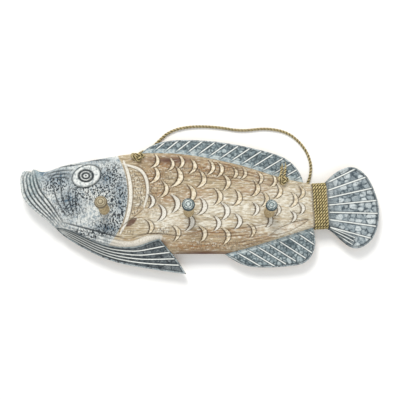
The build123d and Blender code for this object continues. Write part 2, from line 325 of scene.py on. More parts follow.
def triangles(points, rim):
    """Triangles that fill the loop of the first rim points and pass through all the others."""
    ring = [(i, (i + 1) % rim) for i in range(rim)]
    found = delaunay_2d_cdt([Vector(p) for p in points], ring, [], 1, 1e-7)
    if len(found[0]) != len(points):
        raise ValueError("two points of a board coincide")
    return [tuple(face) for face in found[2]]


RINGS = (0.35, 0.95, 1.8, 2.9)      # rows of points beside an edge
BACK_EDGE = 0.9                     # worn edge round a board's back
EDGE_ROWS = 7                       # rows of points down a board's edge
SHARP = math.radians(60)            # edges that turn by more than this are not shaded smooth


def tube_faces(rows, count, closed=False):
    """Faces between rows of count points each, with a cap at both ends unless the rows close up."""
    faces = []
    for i in range(rows if closed else rows - 1):
        this, following = i * count, (i + 1) % rows * count
        faces += [(this + k, this + (k + 1) % count, following + (k + 1) % count, following + k)
                  for k in range(count)]
    if not closed:
        faces += [tuple(range(count))[::-1], tuple(range((rows - 1) * count, rows * count))]
    return faces


def board(name, loop, carve, floor, pitch, material, fine=()):
    """A solid board whose face carve(xy, gap) gives; fine lists (centre, radius, pitch) of finer areas."""
    rim = even(loop, 1.1 * pitch)
    out = outward(rim)
    edge = Nearest(even(loop, 0.4))
    grid = lattice(rim.min(axis=0), rim.max(axis=0), pitch)
    for centre, radius, small in fine:
        extra = lattice(centre - radius, centre + radius, small)
        extra = extra[np.hypot(*(extra - centre).T) < radius]
        grid = np.vstack([grid[np.hypot(*(grid - centre).T) > radius], extra])
    grid = grid[within(grid, rim)]
    inner = [row[edge.gap(row) > 0.93 * depth] for depth in RINGS for row in [rim - depth * out]]
    flat = np.vstack([rim, *inner, grid[edge.gap(grid) > RINGS[-1] + 0.55 * pitch]])
    count = len(rim)
    face = carve(flat, edge.gap(flat))
    layers = [np.column_stack([flat, face.height])]
    along = np.arange(count) * 1.1 * pitch
    for share in np.linspace(0, 1, EDGE_ROWS)[1:]:
        level = face.height[:count] * (1 - share) + (floor + BACK_EDGE) * share
        worn = 0.25 * (1 + ripple(along, level, 7, 3)) * share
        layers.append(np.column_stack([rim - worn[:, None] * out, level]))
    layers.append(np.column_stack([rim - (BACK_EDGE + 0.25) * out, np.full(count, floor)]))
    faces = triangles(flat, count)
    base = len(flat)
    starts = [0] + [base + k * count for k in range(EDGE_ROWS)]
    for upper, lower in zip(starts, starts[1:]):
        faces += [(upper + i, upper + (i + 1) % count, lower + (i + 1) % count, lower + i)
                  for i in range(count)]
    faces.append(tuple(starts[-1] + i for i in range(count)))
    piece = piece_from(name, np.vstack(layers), faces, material)
    piece.data.set_sharp_from_angle(angle=SHARP)
    return piece, edge


def paint(piece, carve, edge, floor):
    """Works out a board's coats of paint at its final points."""
    places = places_of(piece)
    face = carve(places[:, :2], edge.gap(places[:, :2]))
    front = rise(places[:, 2], floor + 0.6, floor + 2.5)
    for name, amounts in face.coat.items():
        store(piece, name, amounts * front)
    store(piece, "front", front)


class Carving:
    """The heights and the coats of paint of a board's face at given points."""

    def __init__(self, xy, height, coats):
        self.xy = xy
        self.height = height
        self.coat = {name: np.zeros(len(xy)) for name in coats}

    def lay(self, coat, amount):
        """Lays a coat where it isn't as thick already."""
        self.coat[coat] = np.maximum(self.coat[coat], np.clip(amount, 0, 1))

    def cut(self, path, width, depth, coat="ink_and_shade", amount=1.0):
        """A groove along a path, with a coat laid in its bottom: by default dark ink and painted shade."""
        gap, along = beside(self.xy, path, 3 * width)
        taper = np.sin(math.pi * np.clip(along, 0.02, 0.98)) ** 0.4
        self.height -= depth * taper * hill(gap, 0, width)
        self.lay(coat, amount * taper * hill(gap, 0, 0.75 * width, 4))

    def bead(self, path, width, height, amount=1.0):
        """A rounded ridge along a path, painted cream, with a cut down each side of it that is darkened as
        painted shade.
        """
        gap, along = beside(self.xy, path, 3 * width)
        taper = np.sin(math.pi * np.clip(along, 0.02, 0.98)) ** 0.5
        half = width * (0.35 + 0.65 * taper)
        self.height += taper * height * np.sqrt(np.clip(1 - (gap / half) ** 2, 0, 1))
        self.height -= taper * 0.8 * hill(gap, half + 0.5, 0.9)
        self.lay("cream", amount * rise(gap, half + 0.2, half - 0.7))
        # painted shade in the cut down each side of the ridge
        self.lay("ink_and_shade", 0.75 * taper * hill(gap, half + 0.5, 0.7))

    def sink(self, corners, depth, coat=None, amount=1.0, soft=2.0):
        """A flat area that lies lower, within a smooth closed line."""
        closed = np.vstack([corners, corners[:1]])
        gap = beside(self.xy, closed, 40)[0]
        inside = rise(np.where(within(self.xy, smooth(closed)), gap, -gap), -soft / 2, soft / 2)
        self.height -= depth * inside
        if coat:
            self.lay(coat, amount * inside)
        return inside


def blot(xy, along, up, width, height):
    """A soft oval patch, from 0 to 1, placed and sized in hundredths of the fish's length."""
    offset = (xy - spot((along, up))[0]) / (UNIT * np.array([width, height]))
    return np.exp(-(offset ** 2).sum(axis=1))


# ---------------------------------------------------------------- the body

CROWN_TOP = box("body_plank")[1][2]
CROWN_FALL, CROWN_REACH = 7.5, 95        # the face falls away this much, this far from its middle line
CROWN_RADIUS = (CROWN_REACH ** 2 + CROWN_FALL ** 2) / (2 * CROWN_FALL)
EDGE_WIDTH, EDGE_DROP = 8.0, 5.5         # rounding of the body's front edges
NECK_LEAN = math.radians(3.4)
NECK_AXIS = np.array([math.cos(NECK_LEAN), math.sin(NECK_LEAN)])
NECK_ACROSS = np.array([-NECK_AXIS[1], NECK_AXIS[0]])

EYE = spot((-31.5, 8.5))[0]
EYE_LENGTH, EYE_WIDTH, EYE_TILT = 23.5, 17.2, 20      # half length and half width in mm, and degrees
INNER_LIP = spot((-46, 10), (-44.5, 5), (-41.5, 1), (-37.5, -5))
HEAD_CENTRE, HEAD_RADIUS = (-41, 3.5), 21      # the painted head ends in a circle
BAND_RADIUS, COVER_RADIUS = 21.8, 22.6         # the gill's band and the front of its cover lie on wider ones
GILL_RIM = spot((-21.5, 12), (-17, 10.5), (-15, 8), (-14.5, 4), (-15.5, 0))
THROAT_LINE = bowed((-39, -4), (-20, -9))
BELLY_LINE = spot((-20, -9), (-15, -7.5), (-10, -7.5), (-6, -8), (-3.5, -7.5))
BELLY_PLATE = spot((-29, -7.5), (-20, -9.5), (-15, -8), (-10.5, -8), (-12, -10.5), (-16, -12.5),
                   (-26, -12))
KNOT_ENDS = ((19, -8), (30, -3.5))
KNOT_LEAF = leaf(*KNOT_ENDS, 0.16)
SCALE_STEP = 7           # hundredths of the fish's length from one scale cut to the next in a row
SCALE_START, SCALE_END = -13, 30
ROW_STEP = 0.14          # share of the body's height from one row to the next
TOP_ROW, SECOND_ROW = 0.9, 0.76
PEG_ROOM, KNOT_ROOM = 15, 12      # no scale cut is this near to a peg's foot or to the wood's knot
BODY_COATS = ("chip", "head", "blue", "teal", "cream", "ink_and_shade", "brown", "red", "pale", "speckle", "strokes")


def crown(y):
    """Height of the body's smooth face over its middle line."""
    return CROWN_TOP - CROWN_RADIUS + np.sqrt(CROWN_RADIUS ** 2 - y ** 2)


def rounded_drop(gap, width, drop):
    """How far a rounded edge lies below the face, at a distance from the outline."""
    return drop * (1 - np.sqrt(1 - (1 - np.clip(gap / width, 0, 1)) ** 2))


def scale_cut(face, centre, size, tilt, coat):
    """One gouge cut for a scale: a crescent, pointed at both ends, that bulges towards the tail."""
    offset = face.xy - centre
    across = offset @ [math.cos(tilt), math.sin(tilt)]
    share_up = offset @ [-math.sin(tilt), math.cos(tilt)] / (size / 2)
    bow = np.clip(1 - share_up ** 2, 0, 1)
    inner, outer = size * (0.24 * bow - 0.3), size * (0.52 * bow ** 0.62 - 0.3)
    share = (across - inner) / np.maximum(outer - inner, 0.3)
    edge = rise(bow, 0, 0.15)
    facet = (share >= 0) & (share <= 1)
    before, beyond = np.clip(inner - across, 0, None), np.clip(across - outer, 0, None)
    face.height += edge * np.where(facet, -1.5 + 2.7 * np.clip(share, 0, 1) ** 0.7, 0)
    face.height += edge * np.where(share < 0, 0.35 * np.exp(-before / 1.5), 0)
    face.height += edge * np.where(share > 1, -1.1 * np.exp(-beyond / 1.6), 0)
    face.lay(coat, edge * rise(share, -0.02, 0.3) * rise(share, 1.04, 0.9))
    # painted shadow: dark lines along the crescent's inner stop cut and along the groove past its outer edge
    face.lay("ink_and_shade", 0.95 * edge * hill(before, 0, 1.6) * (share < 0.12))
    face.lay("ink_and_shade", 0.85 * edge * hill(beyond, 0, 1.3) * (share > 0.95))
    fan = np.sin(share_up * size * 1.9) ** 2 * (share < 0)
    face.lay("strokes", edge * fan * np.exp(-before / 7))


def scale_places(chance):
    """Where the scale cuts are, how large and in which coat: a close row at the back, then staggered ones."""
    close_row = np.arange(SCALE_START + 1.5, SCALE_END - 8, SCALE_STEP / 2)
    places = [(along, TOP_ROW, 3.7, "chip") for along in close_row]
    for row in range(5):
        size, coat = (4.7, "chip") if row < 2 else (4.3, "cream" if row < 4 else "chip")
        first = SCALE_START + SCALE_STEP / 2 * (row % 2)
        for along in np.arange(first, SCALE_END, SCALE_STEP):
            places.append((along, SECOND_ROW - ROW_STEP * row, size, coat))
    return [(on_body(along + chance.uniform(-0.9, 0.9), share + chance.uniform(-0.02, 0.02)), size, coat)
            for along, share, size, coat in places]


def scales(face):
    """The scale cuts, each a little different, and none under a peg or over the wood's knot."""
    chance = np.random.default_rng(11)
    feet = [middle_of(f"{end}_peg_shank")[:2] for end in PEG_ENDS]
    for centre, size, coat in scale_places(chance):
        height = UNIT * size * chance.uniform(1.0, 1.25) * slimness(centre[0]) ** 0.5
        tilt = math.radians(chance.uniform(-9, 7)) - 0.002 * centre[1]
        from_knot = beside(centre[None], bowed(*KNOT_ENDS), 2 * KNOT_ROOM)[0][0]
        if min(np.hypot(*(centre - foot)) for foot in feet) > PEG_ROOM and from_knot > KNOT_ROOM:
            scale_cut(face, centre, height, tilt, coat)


def eye(face):
    """The carved eye: a raised oval with two rings and a pupil cut into it."""
    turn = math.radians(EYE_TILT)
    offset = face.xy - EYE
    long = offset @ [math.cos(turn), math.sin(turn)]
    short = offset @ [-math.sin(turn), math.cos(turn)]
    oval = np.hypot(long / EYE_LENGTH, short / EYE_WIDTH)
    ring = np.hypot(*(offset + [0.8, -0.8]).T / [[14], [11.2]])
    plate = rise(oval, 1.03, 0.9)
    clear = 1 - plate
    for coat in ("ink_and_shade", "blue", "speckle", "strokes", "teal", "brown"):
        face.coat[coat] *= clear
    face.height += 2.4 * plate + 0.5 * hill(oval, 0.86, 0.1)
    face.height -= 1.3 * hill(oval, 1.07, 0.045)
    face.lay("cream", plate)
    face.lay("ink_and_shade", 0.9 * hill(oval, 1.06, 0.04))
    for radius, width, depth in ((0.84, 0.155, 1.6), (0.42, 0.135, 1.2), (0.0, 0.13, 1.0)):
        channel = hill(ring, radius, width, 4)
        face.height -= depth * channel
        face.lay("ink_and_shade", channel)
    face.height += 0.8 * hill(ring, 0.63, 0.08, 4)


def lips():
    """The grooves of the lips, parted evenly from the jaw's edge to the inner lip."""
    loop = body_outline()
    mouth = loop[loop[:, 0] < FISH_LOW[0] + 2 * UNIT]
    chin = fin_outline("pelvic_fin")
    jaw = stretch(loop, mouth[mouth[:, 1].argmax()], chin[chin[:, 0].argmin()])
    return [between(jaw, smooth(INNER_LIP), share) for share in (0.2, 0.4, 0.6, 0.8, 1)]


def head(face):
    """The painted head: lips, cheek and brow lines, the speckled cheek and the eye."""
    xy = face.xy
    painted = rise(np.hypot(*(xy - spot(HEAD_CENTRE)[0]).T), UNIT * HEAD_RADIUS + 1, UNIT * HEAD_RADIUS - 1)
    face.height -= 0.4 * painted
    face.lay("head", painted)
    grooves = lips()
    for path in grooves:
        face.cut(path, 1.6, 2.2)
    for one, other in zip(grooves, grooves[1:]):
        gap = beside(xy, between(one, other, 0.5), 8)[0]
        face.height += 0.6 * hill(gap, 0, 1.6)
        face.lay("cream", 0.5 * hill(gap, 0, 1.3, 4))
    for k in range(4):
        start = (-41 + 2.3 * k, 8 - 1.4 * k)
        face.cut(bowed(start, (-36.5 + 0.8 * k, 0.6 * k - 3.2), -0.08), 1.7, 1.0, amount=0.85)
    brows = [bowed((0.7 * k - 43, 9 - 0.6 * k), (-35 - 0.7 * k, 10.2 - 1.1 * k), 0.05) for k in range(3)]
    for path in (*brows, bowed((-39.5, 11), (-32, 12)), bowed((-34, 12.5), (-25, 13), 0.03)):
        face.cut(path, 1.6, 1.1, amount=0.9)
    face.cut(THROAT_LINE, 1.8, 1.8)
    for shift in (1.5, 2.9, 4.2):
        face.cut(THROAT_LINE - [3 * shift, UNIT * shift * 0.55], 1.2, 0.7, amount=0.6)
    face.lay("teal", 0.9 * blot(xy, -46.5, 6.5, 2, 4.5))
    for patch in ((-39.5, 8, 5, 3), (-36, 1.5, 3.5, 4), (-26, 8, 3, 3), (-22, 3, 2, 6), (-26, -6, 4, 1.5),
                  (-44, 9.5, 2.5, 1.5), (-30, 13, 6, 1)):
        face.lay("blue", blot(xy, *patch))
    for patch in ((-25.5, 3.5, 7, 4.5), (-23, -1.5, 3.5, 6.5), (-25, -5.5, 5.5, 2.5), (-31, 4, 6, 3),
                  (-24.5, 9, 4, 3), (-31, -7.5, 7, 1.5), (-40, 6, 4, 3), (-36, 0.5, 4, 3.5)):
        face.lay("speckle", 1.4 * blot(xy, *patch))
    face.coat["speckle"] *= 1 - 0.8 * blot(xy, -28.5, -1, 3, 2.5)
    face.lay("strokes", 0.6 * face.coat["head"] * rise(ripple(xy[:, 0], xy[:, 1], 5, 8), 0.1, 0.7))
    eye(face)


def gill(face):
    """The gill cover between a smooth band and a raised rim, with the fold and the notch below it."""
    front = arc(HEAD_CENTRE, COVER_RADIUS, -14, 18, 4)
    cover = face.sink(np.vstack([GILL_RIM[1:] - UNIT * np.array([1.2, 0.9]), front]), 1.5)
    face.lay("pale", 0.3 * cover)
    face.lay("strokes", cover)
    face.sink(leaf((-20.5, -5.5), (-17.5, -3), 0.35), 1.8, "red", 0.9, soft=1.0)
    face.bead(arc(HEAD_CENTRE, BAND_RADIUS, 25, -30), 3.4, 1.1)
    face.bead(GILL_RIM, 2.9, 1.5, amount=0.9)
    # the brown in this groove's bottom is partly a wash and partly painted shade
    face.cut(bowed((-18.5, 8), (-18.5, 4.5), 0.05), 1.1, 0.7, "brown", 1.0)
    face.cut(bowed((-15.5, -0.5), (-23, -6.5)), 1.2, 1.1, amount=0.8)


def belly(face):
    """The cream belly plate under its scalloped line, with short upright cuts above it."""
    face.sink(BELLY_PLATE, 0.9, "cream", 0.8)
    face.cut(BELLY_LINE, 1.3, 1.4, amount=0.85)
    for k in range(6):
        at = 0.75 * k - 22.5
        face.cut(bowed((at, -7.5 - 0.1 * k), (at + 0.3, -6 - 0.1 * k)), 0.8, 0.6, amount=0.6)


def grain_lines():
    """Long cuts that follow the body's taper, most of them near its lower and upper edges."""
    chance = np.random.default_rng(17)
    lines = []
    for share in (*np.linspace(0.05, 0.26, 6), *np.linspace(0.8, 0.97, 6)):
        start = chance.uniform(-9, 15)
        end = min(start + chance.uniform(7, 18), 31)
        line = [on_body(at, share + chance.uniform(-0.01, 0.01)) for at in np.linspace(start, end, 5)]
        lines.append(np.array(line))
    return lines


def grain(face):
    """Long cuts along the grain and the coloured bands of the wood."""
    xy = face.xy
    for path in grain_lines():
        face.cut(path, 1.2, 0.9, amount=0.55)
        face.lay("brown", 0.6 * hill(beside(xy, path, 12)[0], 0, 3.5))
    face.sink(KNOT_LEAF, 1.0, "brown", 0.6, soft=1.5)
    face.cut(np.vstack([KNOT_LEAF, KNOT_LEAF[:1]]), 1.0, 0.7, amount=0.8)
    for coat, amount, patches in (
            ("brown", 0.95, ((-9, 12, 8, 2.5), (3, 11, 10, 2), (-10, 3, 3.5, 2.5), (-1.5, 3.5, 4.5, 2),
                             (3, -7, 9, 1), (0, -10.5, 10, 1.5), (-13, 8.5, 3.5, 4), (15, 4.5, 5, 1.5))),
            ("red", 1, ((1, -13, 10, 1), (-8, 13, 6, 1), (-12, -10, 3, 1))),
            ("strokes", 1, ((-12, 7.5, 6, 5), (-13.5, 3, 3, 5), (-10.5, -6.5, 3, 1.5), (5, -10.5, 12, 1.5),
                            (2, 10, 12, 2))),
            ("pale", 1, ((6, 0, 15, 3), (23, 1, 10, 5), (-9, -3.5, 7, 3.5), (2, -4.5, 12, 1),
                         (22, -5.5, 8, 2.5)))):
        for patch in patches:
            face.lay(coat, amount * blot(xy, *patch))
    face.coat["brown"] *= 1 - 0.85 * face.coat["head"]
    face.coat["red"] *= 1 - face.coat["head"]


def carve_body(xy, gap):
    """The body's whole face."""
    x, y = xy.T
    face = Carving(xy, crown(y - MIDDLE[1]), BODY_COATS)
    scales(face)
    grain(face)
    belly(face)
    gill(face)
    head(face)
    face.height += 0.3 * ripple(x, y * 1.7, 17, 1) + 0.14 * ripple(x, y * 2.5, 7, 2)
    face.height += 0.1 * ripple(x, y * 6, 9, 4)
    face.height -= rounded_drop(gap, EDGE_WIDTH, EDGE_DROP)
    return face


def body_outline():
    """The plank's outline above its dowel bores, cut off square where its neck begins."""
    middle = middle_of("tail_binding")[:2]
    loop = outline("body_plank", box("dorsal_fin_dowels")[1][2] + 0.9)
    ahead = (loop - middle) @ NECK_AXIS + half_binding()
    return loop - np.clip(ahead, 0, None)[:, None] * NECK_AXIS


def half_binding():
    """Half the length of neck that the binding covers."""
    places = places_of(frame["nodes"]["tail_binding"])[:, :2]
    return np.ptp(places @ NECK_AXIS) / 2


def body_edges():
    """Heights of the body's lower and upper edge every few millimetres, evened out over a few centimetres."""
    step, window = 2, 21
    loop = even(body_outline(), 1)
    places = np.arange(loop[:, 0].min() + step, loop[:, 0].max() - step, step)
    near = [loop[np.abs(loop[:, 0] - x) < step, 1] for x in places]
    made = [places]
    for edge in ([row.min() for row in near], [row.max() for row in near]):
        padded = np.pad(edge, window // 2, "edge")
        made.append(np.convolve(padded, np.full(window, 1 / window), "valid"))
    return made


EDGE_PLACES, LOWER_EDGE, UPPER_EDGE = body_edges()


def on_body(along, share):
    """A place along the fish's length, at a share of the way from the body's lower edge to its upper edge."""
    x = MIDDLE[0] + UNIT * along
    lower, upper = np.interp(x, EDGE_PLACES, LOWER_EDGE), np.interp(x, EDGE_PLACES, UPPER_EDGE)
    return np.array([x, lower + share * (upper - lower)])


def slimness(x):
    """How high the body is at a place, as a share of its greatest height."""
    return np.interp(x, EDGE_PLACES, UPPER_EDGE - LOWER_EDGE) / (UPPER_EDGE - LOWER_EDGE).max()


def volume(mesh):
    """The volume of a closed mesh, which is negative if its faces look inwards."""
    shell = bmesh.new()
    shell.from_mesh(mesh)
    amount = shell.calc_volume(signed=True)
    shell.free()
    return amount


def combine(piece, other, operation):
    """Joins a closed solid to a piece or cuts it away, and stops if the volume didn't change that way."""
    change = piece.modifiers.new("combine", "BOOLEAN")
    change.operation = operation
    change.solver = "MANIFOLD"
    change.object = other
    evaluated = piece.evaluated_get(bpy.context.evaluated_depsgraph_get())
    mesh = bpy.data.meshes.new_from_object(evaluated)
    growth = volume(mesh) - volume(piece.data)
    if volume(other.data) <= 0 or growth == 0 or (growth > 0) != (operation == "UNION"):
        raise ValueError(f"{operation} with {other.name} changed {piece.name} the wrong way")
    piece.modifiers.clear()
    piece.data = mesh
    bpy.data.objects.remove(other)


def plain_solid(name, first, last):
    """A closed solid between two rings, which turn right-handed about the way from first to last."""
    mesh = bpy.data.meshes.new(name)
    mesh.from_pydata((np.vstack([first, last]) * MM).tolist(), [], tube_faces(2, len(first)))
    return placed(name, mesh)


def prism(corners, low, high):
    """A plain upright prism over anticlockwise corners."""
    return plain_solid("prism", *(np.column_stack([corners, np.full(len(corners), z)]) for z in (low, high)))


def round_rings(centres, radii, side, other):
    """Rings of places round centres, with one row of radii for each."""
    turns = math.tau * np.arange(radii.shape[1]) / radii.shape[1]
    ways = np.cos(turns)[None, :, None] * side[:, None] + np.sin(turns)[None, :, None] * other[:, None]
    return centres[:, None] + radii[..., None] * ways


def bore(top, end, radius):
    """A round rod between two points, a little longer at the top."""
    line = np.array([top, end], float)
    side, other = sides_of(line)
    line[0] -= 8 * unit(np.diff(line, axis=0))[0]
    return plain_solid("bore", *round_rings(line, np.full((2, 24), radius), side, other))


# The rope's two holes, each from the face to its end, and the rebate in the back, as in the CAD plank.
ROPE_HOLES = [((-104, 82, 27), (-101.5, 89.8, 9.5)), ((136.5, 41, 30), (150.5, 35, 6.8))]
ROPE_HOLE_RADIUS = 3.5
REBATE = [(142, 56), (142, 37), (152, 27.5), (172, 23), (182, 26), (185, 33), (185, 56)]
REBATE_DEPTH = 7
FINE_AREAS = [(EYE, 25, 0.6), (spot((-43, 2.5))[0], 36, 0.8)]      # centre, radius and pitch of its points


def body(material):
    """The carved body with its rope holes, the rebate behind it and the neck that the binding hides."""
    loop = body_outline()
    piece, edge = board("carved_body", loop, carve_body, 0, 1.12, material, FINE_AREAS)
    combine(piece, prism(REBATE, -5, REBATE_DEPTH), "DIFFERENCE")
    for top, end in ROPE_HOLES:
        combine(piece, bore(top, end, ROPE_HOLE_RADIUS), "DIFFERENCE")
    combine(piece, neck(), "UNION")
    piece.data.set_sharp_from_angle(angle=SHARP)
    paint(piece, carve_body, edge, 0)
    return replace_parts(piece, "body_plank")


def neck_section():
    """Half width, half thickness and corner radius of the neck, and its middle, from the binding round it."""
    places = places_of(frame["nodes"]["tail_binding"])
    low, high = places.min(axis=0), places.max(axis=0)
    across = np.ptp(places[:, :2] @ NECK_ACROSS) / 2 - TURN_SIZE
    return across, (high[2] - low[2]) / 2 - TURN_SIZE, NECK_ROUND, (low + high) / 2


def rounded_loop(half_width, half_height, radius, step):
    """Points round a rounded rectangle, anticlockwise."""
    corners = []
    for k, (right, up) in enumerate([(1, 1), (-1, 1), (-1, -1), (1, -1)]):
        turns = np.linspace(k, k + 1, 9) * math.pi / 2
        centre = np.array([right * (half_width - radius), up * (half_height - radius)])
        corners.append(centre + radius * np.column_stack([np.cos(turns), np.sin(turns)]))
    return even(np.vstack(corners), step, corner=math.pi)


def on_neck(ahead, across, up):
    """Places round the neck, from lengths along and across it and above its middle."""
    middle = neck_section()[3]
    flat = middle[:2] + np.outer(ahead, NECK_AXIS) + np.outer(across, NECK_ACROSS)
    return np.column_stack([flat, middle[2] + up])


def neck():
    """The rounded neck, as a closed solid that is joined to the body."""
    half_width, half_height, radius, _ = neck_section()
    loop = rounded_loop(half_width, half_height, radius, 4)
    ends = (-half_binding() - 4, half_binding() + 1)
    return plain_solid("neck", *(on_neck(np.full(len(loop), ahead), *loop.T) for ahead in ends))


# ---------------------------------------------------------------- the fins and the tail

FIN_COATS = ("ray", "cell", "edge", "base", "ink_and_shade", "tone")
FIN_EDGE_WIDTH, FIN_EDGE_DROP = 3.5, 2.6
FIN_LEVEL = 1.5        # height over a fin's back at which its outline is taken
FIN_ROOM = 0.8         # what the carved face stays below the CAD board's top


def fin_outline(node):
    """The outline of a fin or of the tail."""
    return outline(node, box(node)[0][2] + FIN_LEVEL)


def fin_face(node):
    """The height of the flat face into which a fin is carved."""
    return box(node)[1][2] - FIN_ROOM


def from_foot(foot, degrees, length):
    """A straight ray from its foot."""
    turn = math.radians(degrees)
    return np.array([foot, foot + length * np.array([math.cos(turn), math.sin(turn)])])


def fan(feet, angles, count, length=55):
    """Rays whose feet follow a line and whose directions change evenly."""
    ends = zip(spaced(np.array(feet), count), np.linspace(*angles, count))
    return [from_foot(foot, degrees, length) for foot, degrees in ends]


def cell_centres(rays, length, size, seed):
    """Middles of the painted cells that fill the strips between neighbouring rays."""
    chance = np.random.default_rng(seed)
    centres = []
    for one, other in zip(rays, rays[1:]):
        first, second = smooth(one), smooth(other)
        steps = max(2, int(length / size))
        phase = chance.uniform(0, 1)
        for k in range(-1, steps):
            share = min(max((k + phase + chance.uniform(-0.3, 0.3)) / steps, 0), 1)
            a = first[int(share * (len(first) - 1))]
            b = second[int(share * (len(second) - 1))]
            width = np.hypot(*(b - a))
            for lane in ([0.5] if width < 1.5 * size else [0.28, 0.74]):
                centre = a + (b - a) * (lane + chance.uniform(-0.14, 0.14))
                centres.append(centre + chance.normal(0, 0.16 * size, 2))
    return np.array(centres)


def cells(face, centres, seed, border=1.1):
    """Rounded cells round their centres, each of its own tone, with dark grooves between them."""
    index, near, next_near = Nearest(centres).two(face.xy)
    middle = rise((next_near - near) / 2, 0.2 * border, 1.4 * border)
    blob = middle * rise(ripple(*face.xy.T, 4.5, seed), -1.2, -0.2)
    face.height += 0.5 * (blob - 0.5)
    face.lay("cell", blob)
    face.coat["tone"] = np.random.default_rng(seed).uniform(0, 1, len(centres))[index]


def draw_rays(face, rays, width=0.85, height=0.7):
    """Narrow pale ridges along the rays."""
    for path in rays:
        gap = beside(face.xy, path, 4)[0]
        line = hill(gap, 0, width, 4)
        # ink and painted shade in the grooves beside each ray
        face.lay("ink_and_shade", 0.8 * hill(gap, width + 0.8, 0.7))
        face.height += height * line - 0.35 * hill(gap, 1.7, 0.8)
        face.lay("ray", line)
        face.coat["cell"] *= rise(gap, 1.0, 1.9)


def fin_carver(top, rays, centres, seed, seam, base_width):
    """Makes the function that carves one fin. seam finds the nearest point of the body's outline."""
    def carve(xy, gap):
        x, y = xy.T
        from_seam = seam.gap(xy)
        face = Carving(xy, np.full(len(xy), float(top)), FIN_COATS)
        cells(face, centres, seed)
        draw_rays(face, rays)
        base = rise(from_seam, base_width + 1.5, base_width - 1) * rise(gap, -1, 1.5)
        edge = rise(gap, 2.9, 1.7) * (1 - base)
        face.lay("base", base)
        face.lay("edge", edge)
        for coat in ("ray", "cell"):
            face.coat[coat] *= (1 - base) * (1 - 0.9 * edge)
        # ink and painted shade in the groove round the fin's rim
        face.lay("ink_and_shade", hill(gap, 3.3, 0.8) * (1 - base))
        face.height += 0.25 * ripple(x, y, 12, seed) + 0.12 * ripple(x, y, 4, seed + 1)
        face.height -= 0.5 * hill(gap, 3.3, 0.8)
        face.height -= 1.2 * rise(from_seam, 6, 0)
        face.height -= rounded_drop(gap, FIN_EDGE_WIDTH, FIN_EDGE_DROP) * rise(from_seam, 0.5, 3)
        return face
    return carve


def fin(node, carve, material, pitch=0.85):
    """One painted board in the place of its CAD node."""
    floor = box(node)[0][2]
    piece, edge = board(f"painted_{node}", fin_outline(node), carve, floor, pitch, material)
    paint(piece, carve, edge, floor)
    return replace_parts(piece, node)


def rayed_fin(node, along, share, angles, count, cell, seed, seam, seam_width, material):
    """A fin with rays from the body's edge; cell gives the length of its rays and the size of its cells."""
    rays = fan([on_body(at, share) for at in np.linspace(*along, 12)], angles, count)
    centres = cell_centres(rays, *cell, seed)
    carve = fin_carver(fin_face(node), rays, centres, seed, seam, seam_width)
    return fin(node, carve, material)


def pelvic_rays():
    """Lines from the chin to the fin's rear edge, parted evenly between the fin's seam and its lower edge."""
    loop = even(fin_outline("pelvic_fin"), 1)
    chin, tip = loop[loop[:, 0].argmin()], loop[loop[:, 1].argmin()]
    behind = loop[loop[:, 0] > (chin[0] + tip[0]) / 2]
    root = behind[behind[:, 1].argmax()]
    seam = stretch(loop, root, chin)[::-1]
    return [between(seam, stretch(loop, chin, tip), share) for share in np.linspace(0.02, 0.93, 6)]


def pelvic_fin(seam, material):
    """The long front fin below the throat, with rays that sweep back along it."""
    rays = pelvic_rays()
    centres = cell_centres(rays, 190, 15, 23)
    plain = fin_carver(fin_face("pelvic_fin"), rays[1:-1], centres, 23, seam, 2)
    fade = spot((-33, 0), (-16, 0))[:, 0]

    def carve(xy, gap):
        face = plain(xy, gap)
        for one, other in zip(rays, rays[1:]):
            for share in (0.3, 0.55, 0.8):
                face.cut(between(one, other, share), 0.8, 0.45, amount=0.8)
        face.coat["cell"] *= 0.55
        face.coat["ray"] *= 0.5 + 0.5 * rise(xy[:, 0], *fade)
        return face
    return fin("pelvic_fin", carve, material)


def tail_feet(*across):
    """Places on the slightly rounded line where the tail leaves its binding, from mm across the neck."""
    middle = neck_section()[3][:2]
    return [middle + (12 - 0.003 * at ** 2) * NECK_AXIS + at * NECK_ACROSS for at in across]


def tail_fin(material):
    """The tail's fan: seven rays, rounded cells, fine grooves at its root and folds at its lower edge."""
    middle = neck_section()[3][:2]
    root = 1.02 * half_binding()
    rays = fan(tail_feet(36, 18, 0, -17, -34), (26, -15), 7, 84)
    outer = fan(tail_feet(48, 42), (44, 35), 2, 75) + rays + fan(tail_feet(-42, -52), (-27, -42), 2, 75)
    centres = cell_centres(outer, 72, 10, 24)
    folds = fan(tail_feet(-31, -39), (-20, -35), 4, 55)
    seams = fan(tail_feet(-33.5, -36.5), (-22.5, -32.5), 3, 52)
    rear = FISH_HIGH[0]

    def carve(xy, gap):
        x, y = xy.T
        ahead = (xy - middle) @ NECK_AXIS - root
        across = (xy - middle) @ NECK_ACROSS
        face = Carving(xy, fin_face("tail_fin") - 0.03 * ahead, FIN_COATS)
        cells(face, centres, 24, border=1.3)
        draw_rays(face, rays, 0.95, 0.8)
        grooves = np.sin(across * 1.25 + 0.4 * ripple(x, y, 9, 5)) ** 4 * rise(ahead, 22, 9)
        face.height -= 0.5 * grooves
        face.coat["cell"] = np.maximum(face.coat["cell"], 0.8 * rise(ahead, 17, 9)) * (1 - 0.8 * grooves)
        # ink and painted shade in the fine grooves at the tail's root
        face.lay("ink_and_shade", 0.7 * grooves)
        for path in folds:
            face.cut(path, 2.1, 1.7)
        draw_rays(face, seams, 0.6, 0.4)
        face.coat["ray"] *= rise(gap, 1.8, 4.2)
        face.lay("edge", 0.6 * rise(gap, 2.8, 1.4))
        face.lay("ink_and_shade", hill(gap, 3.6, 1.5) * (0.55 + 0.45 * rise(x, rear - 60, rear - 20)))
        face.height += 0.3 * ripple(x, y, 14, 6) + 0.12 * ripple(x, y, 4, 7)
        face.height -= rounded_drop(gap, FIN_EDGE_WIDTH, FIN_EDGE_DROP)
        return face
    return fin("tail_fin", carve, material, 0.9)


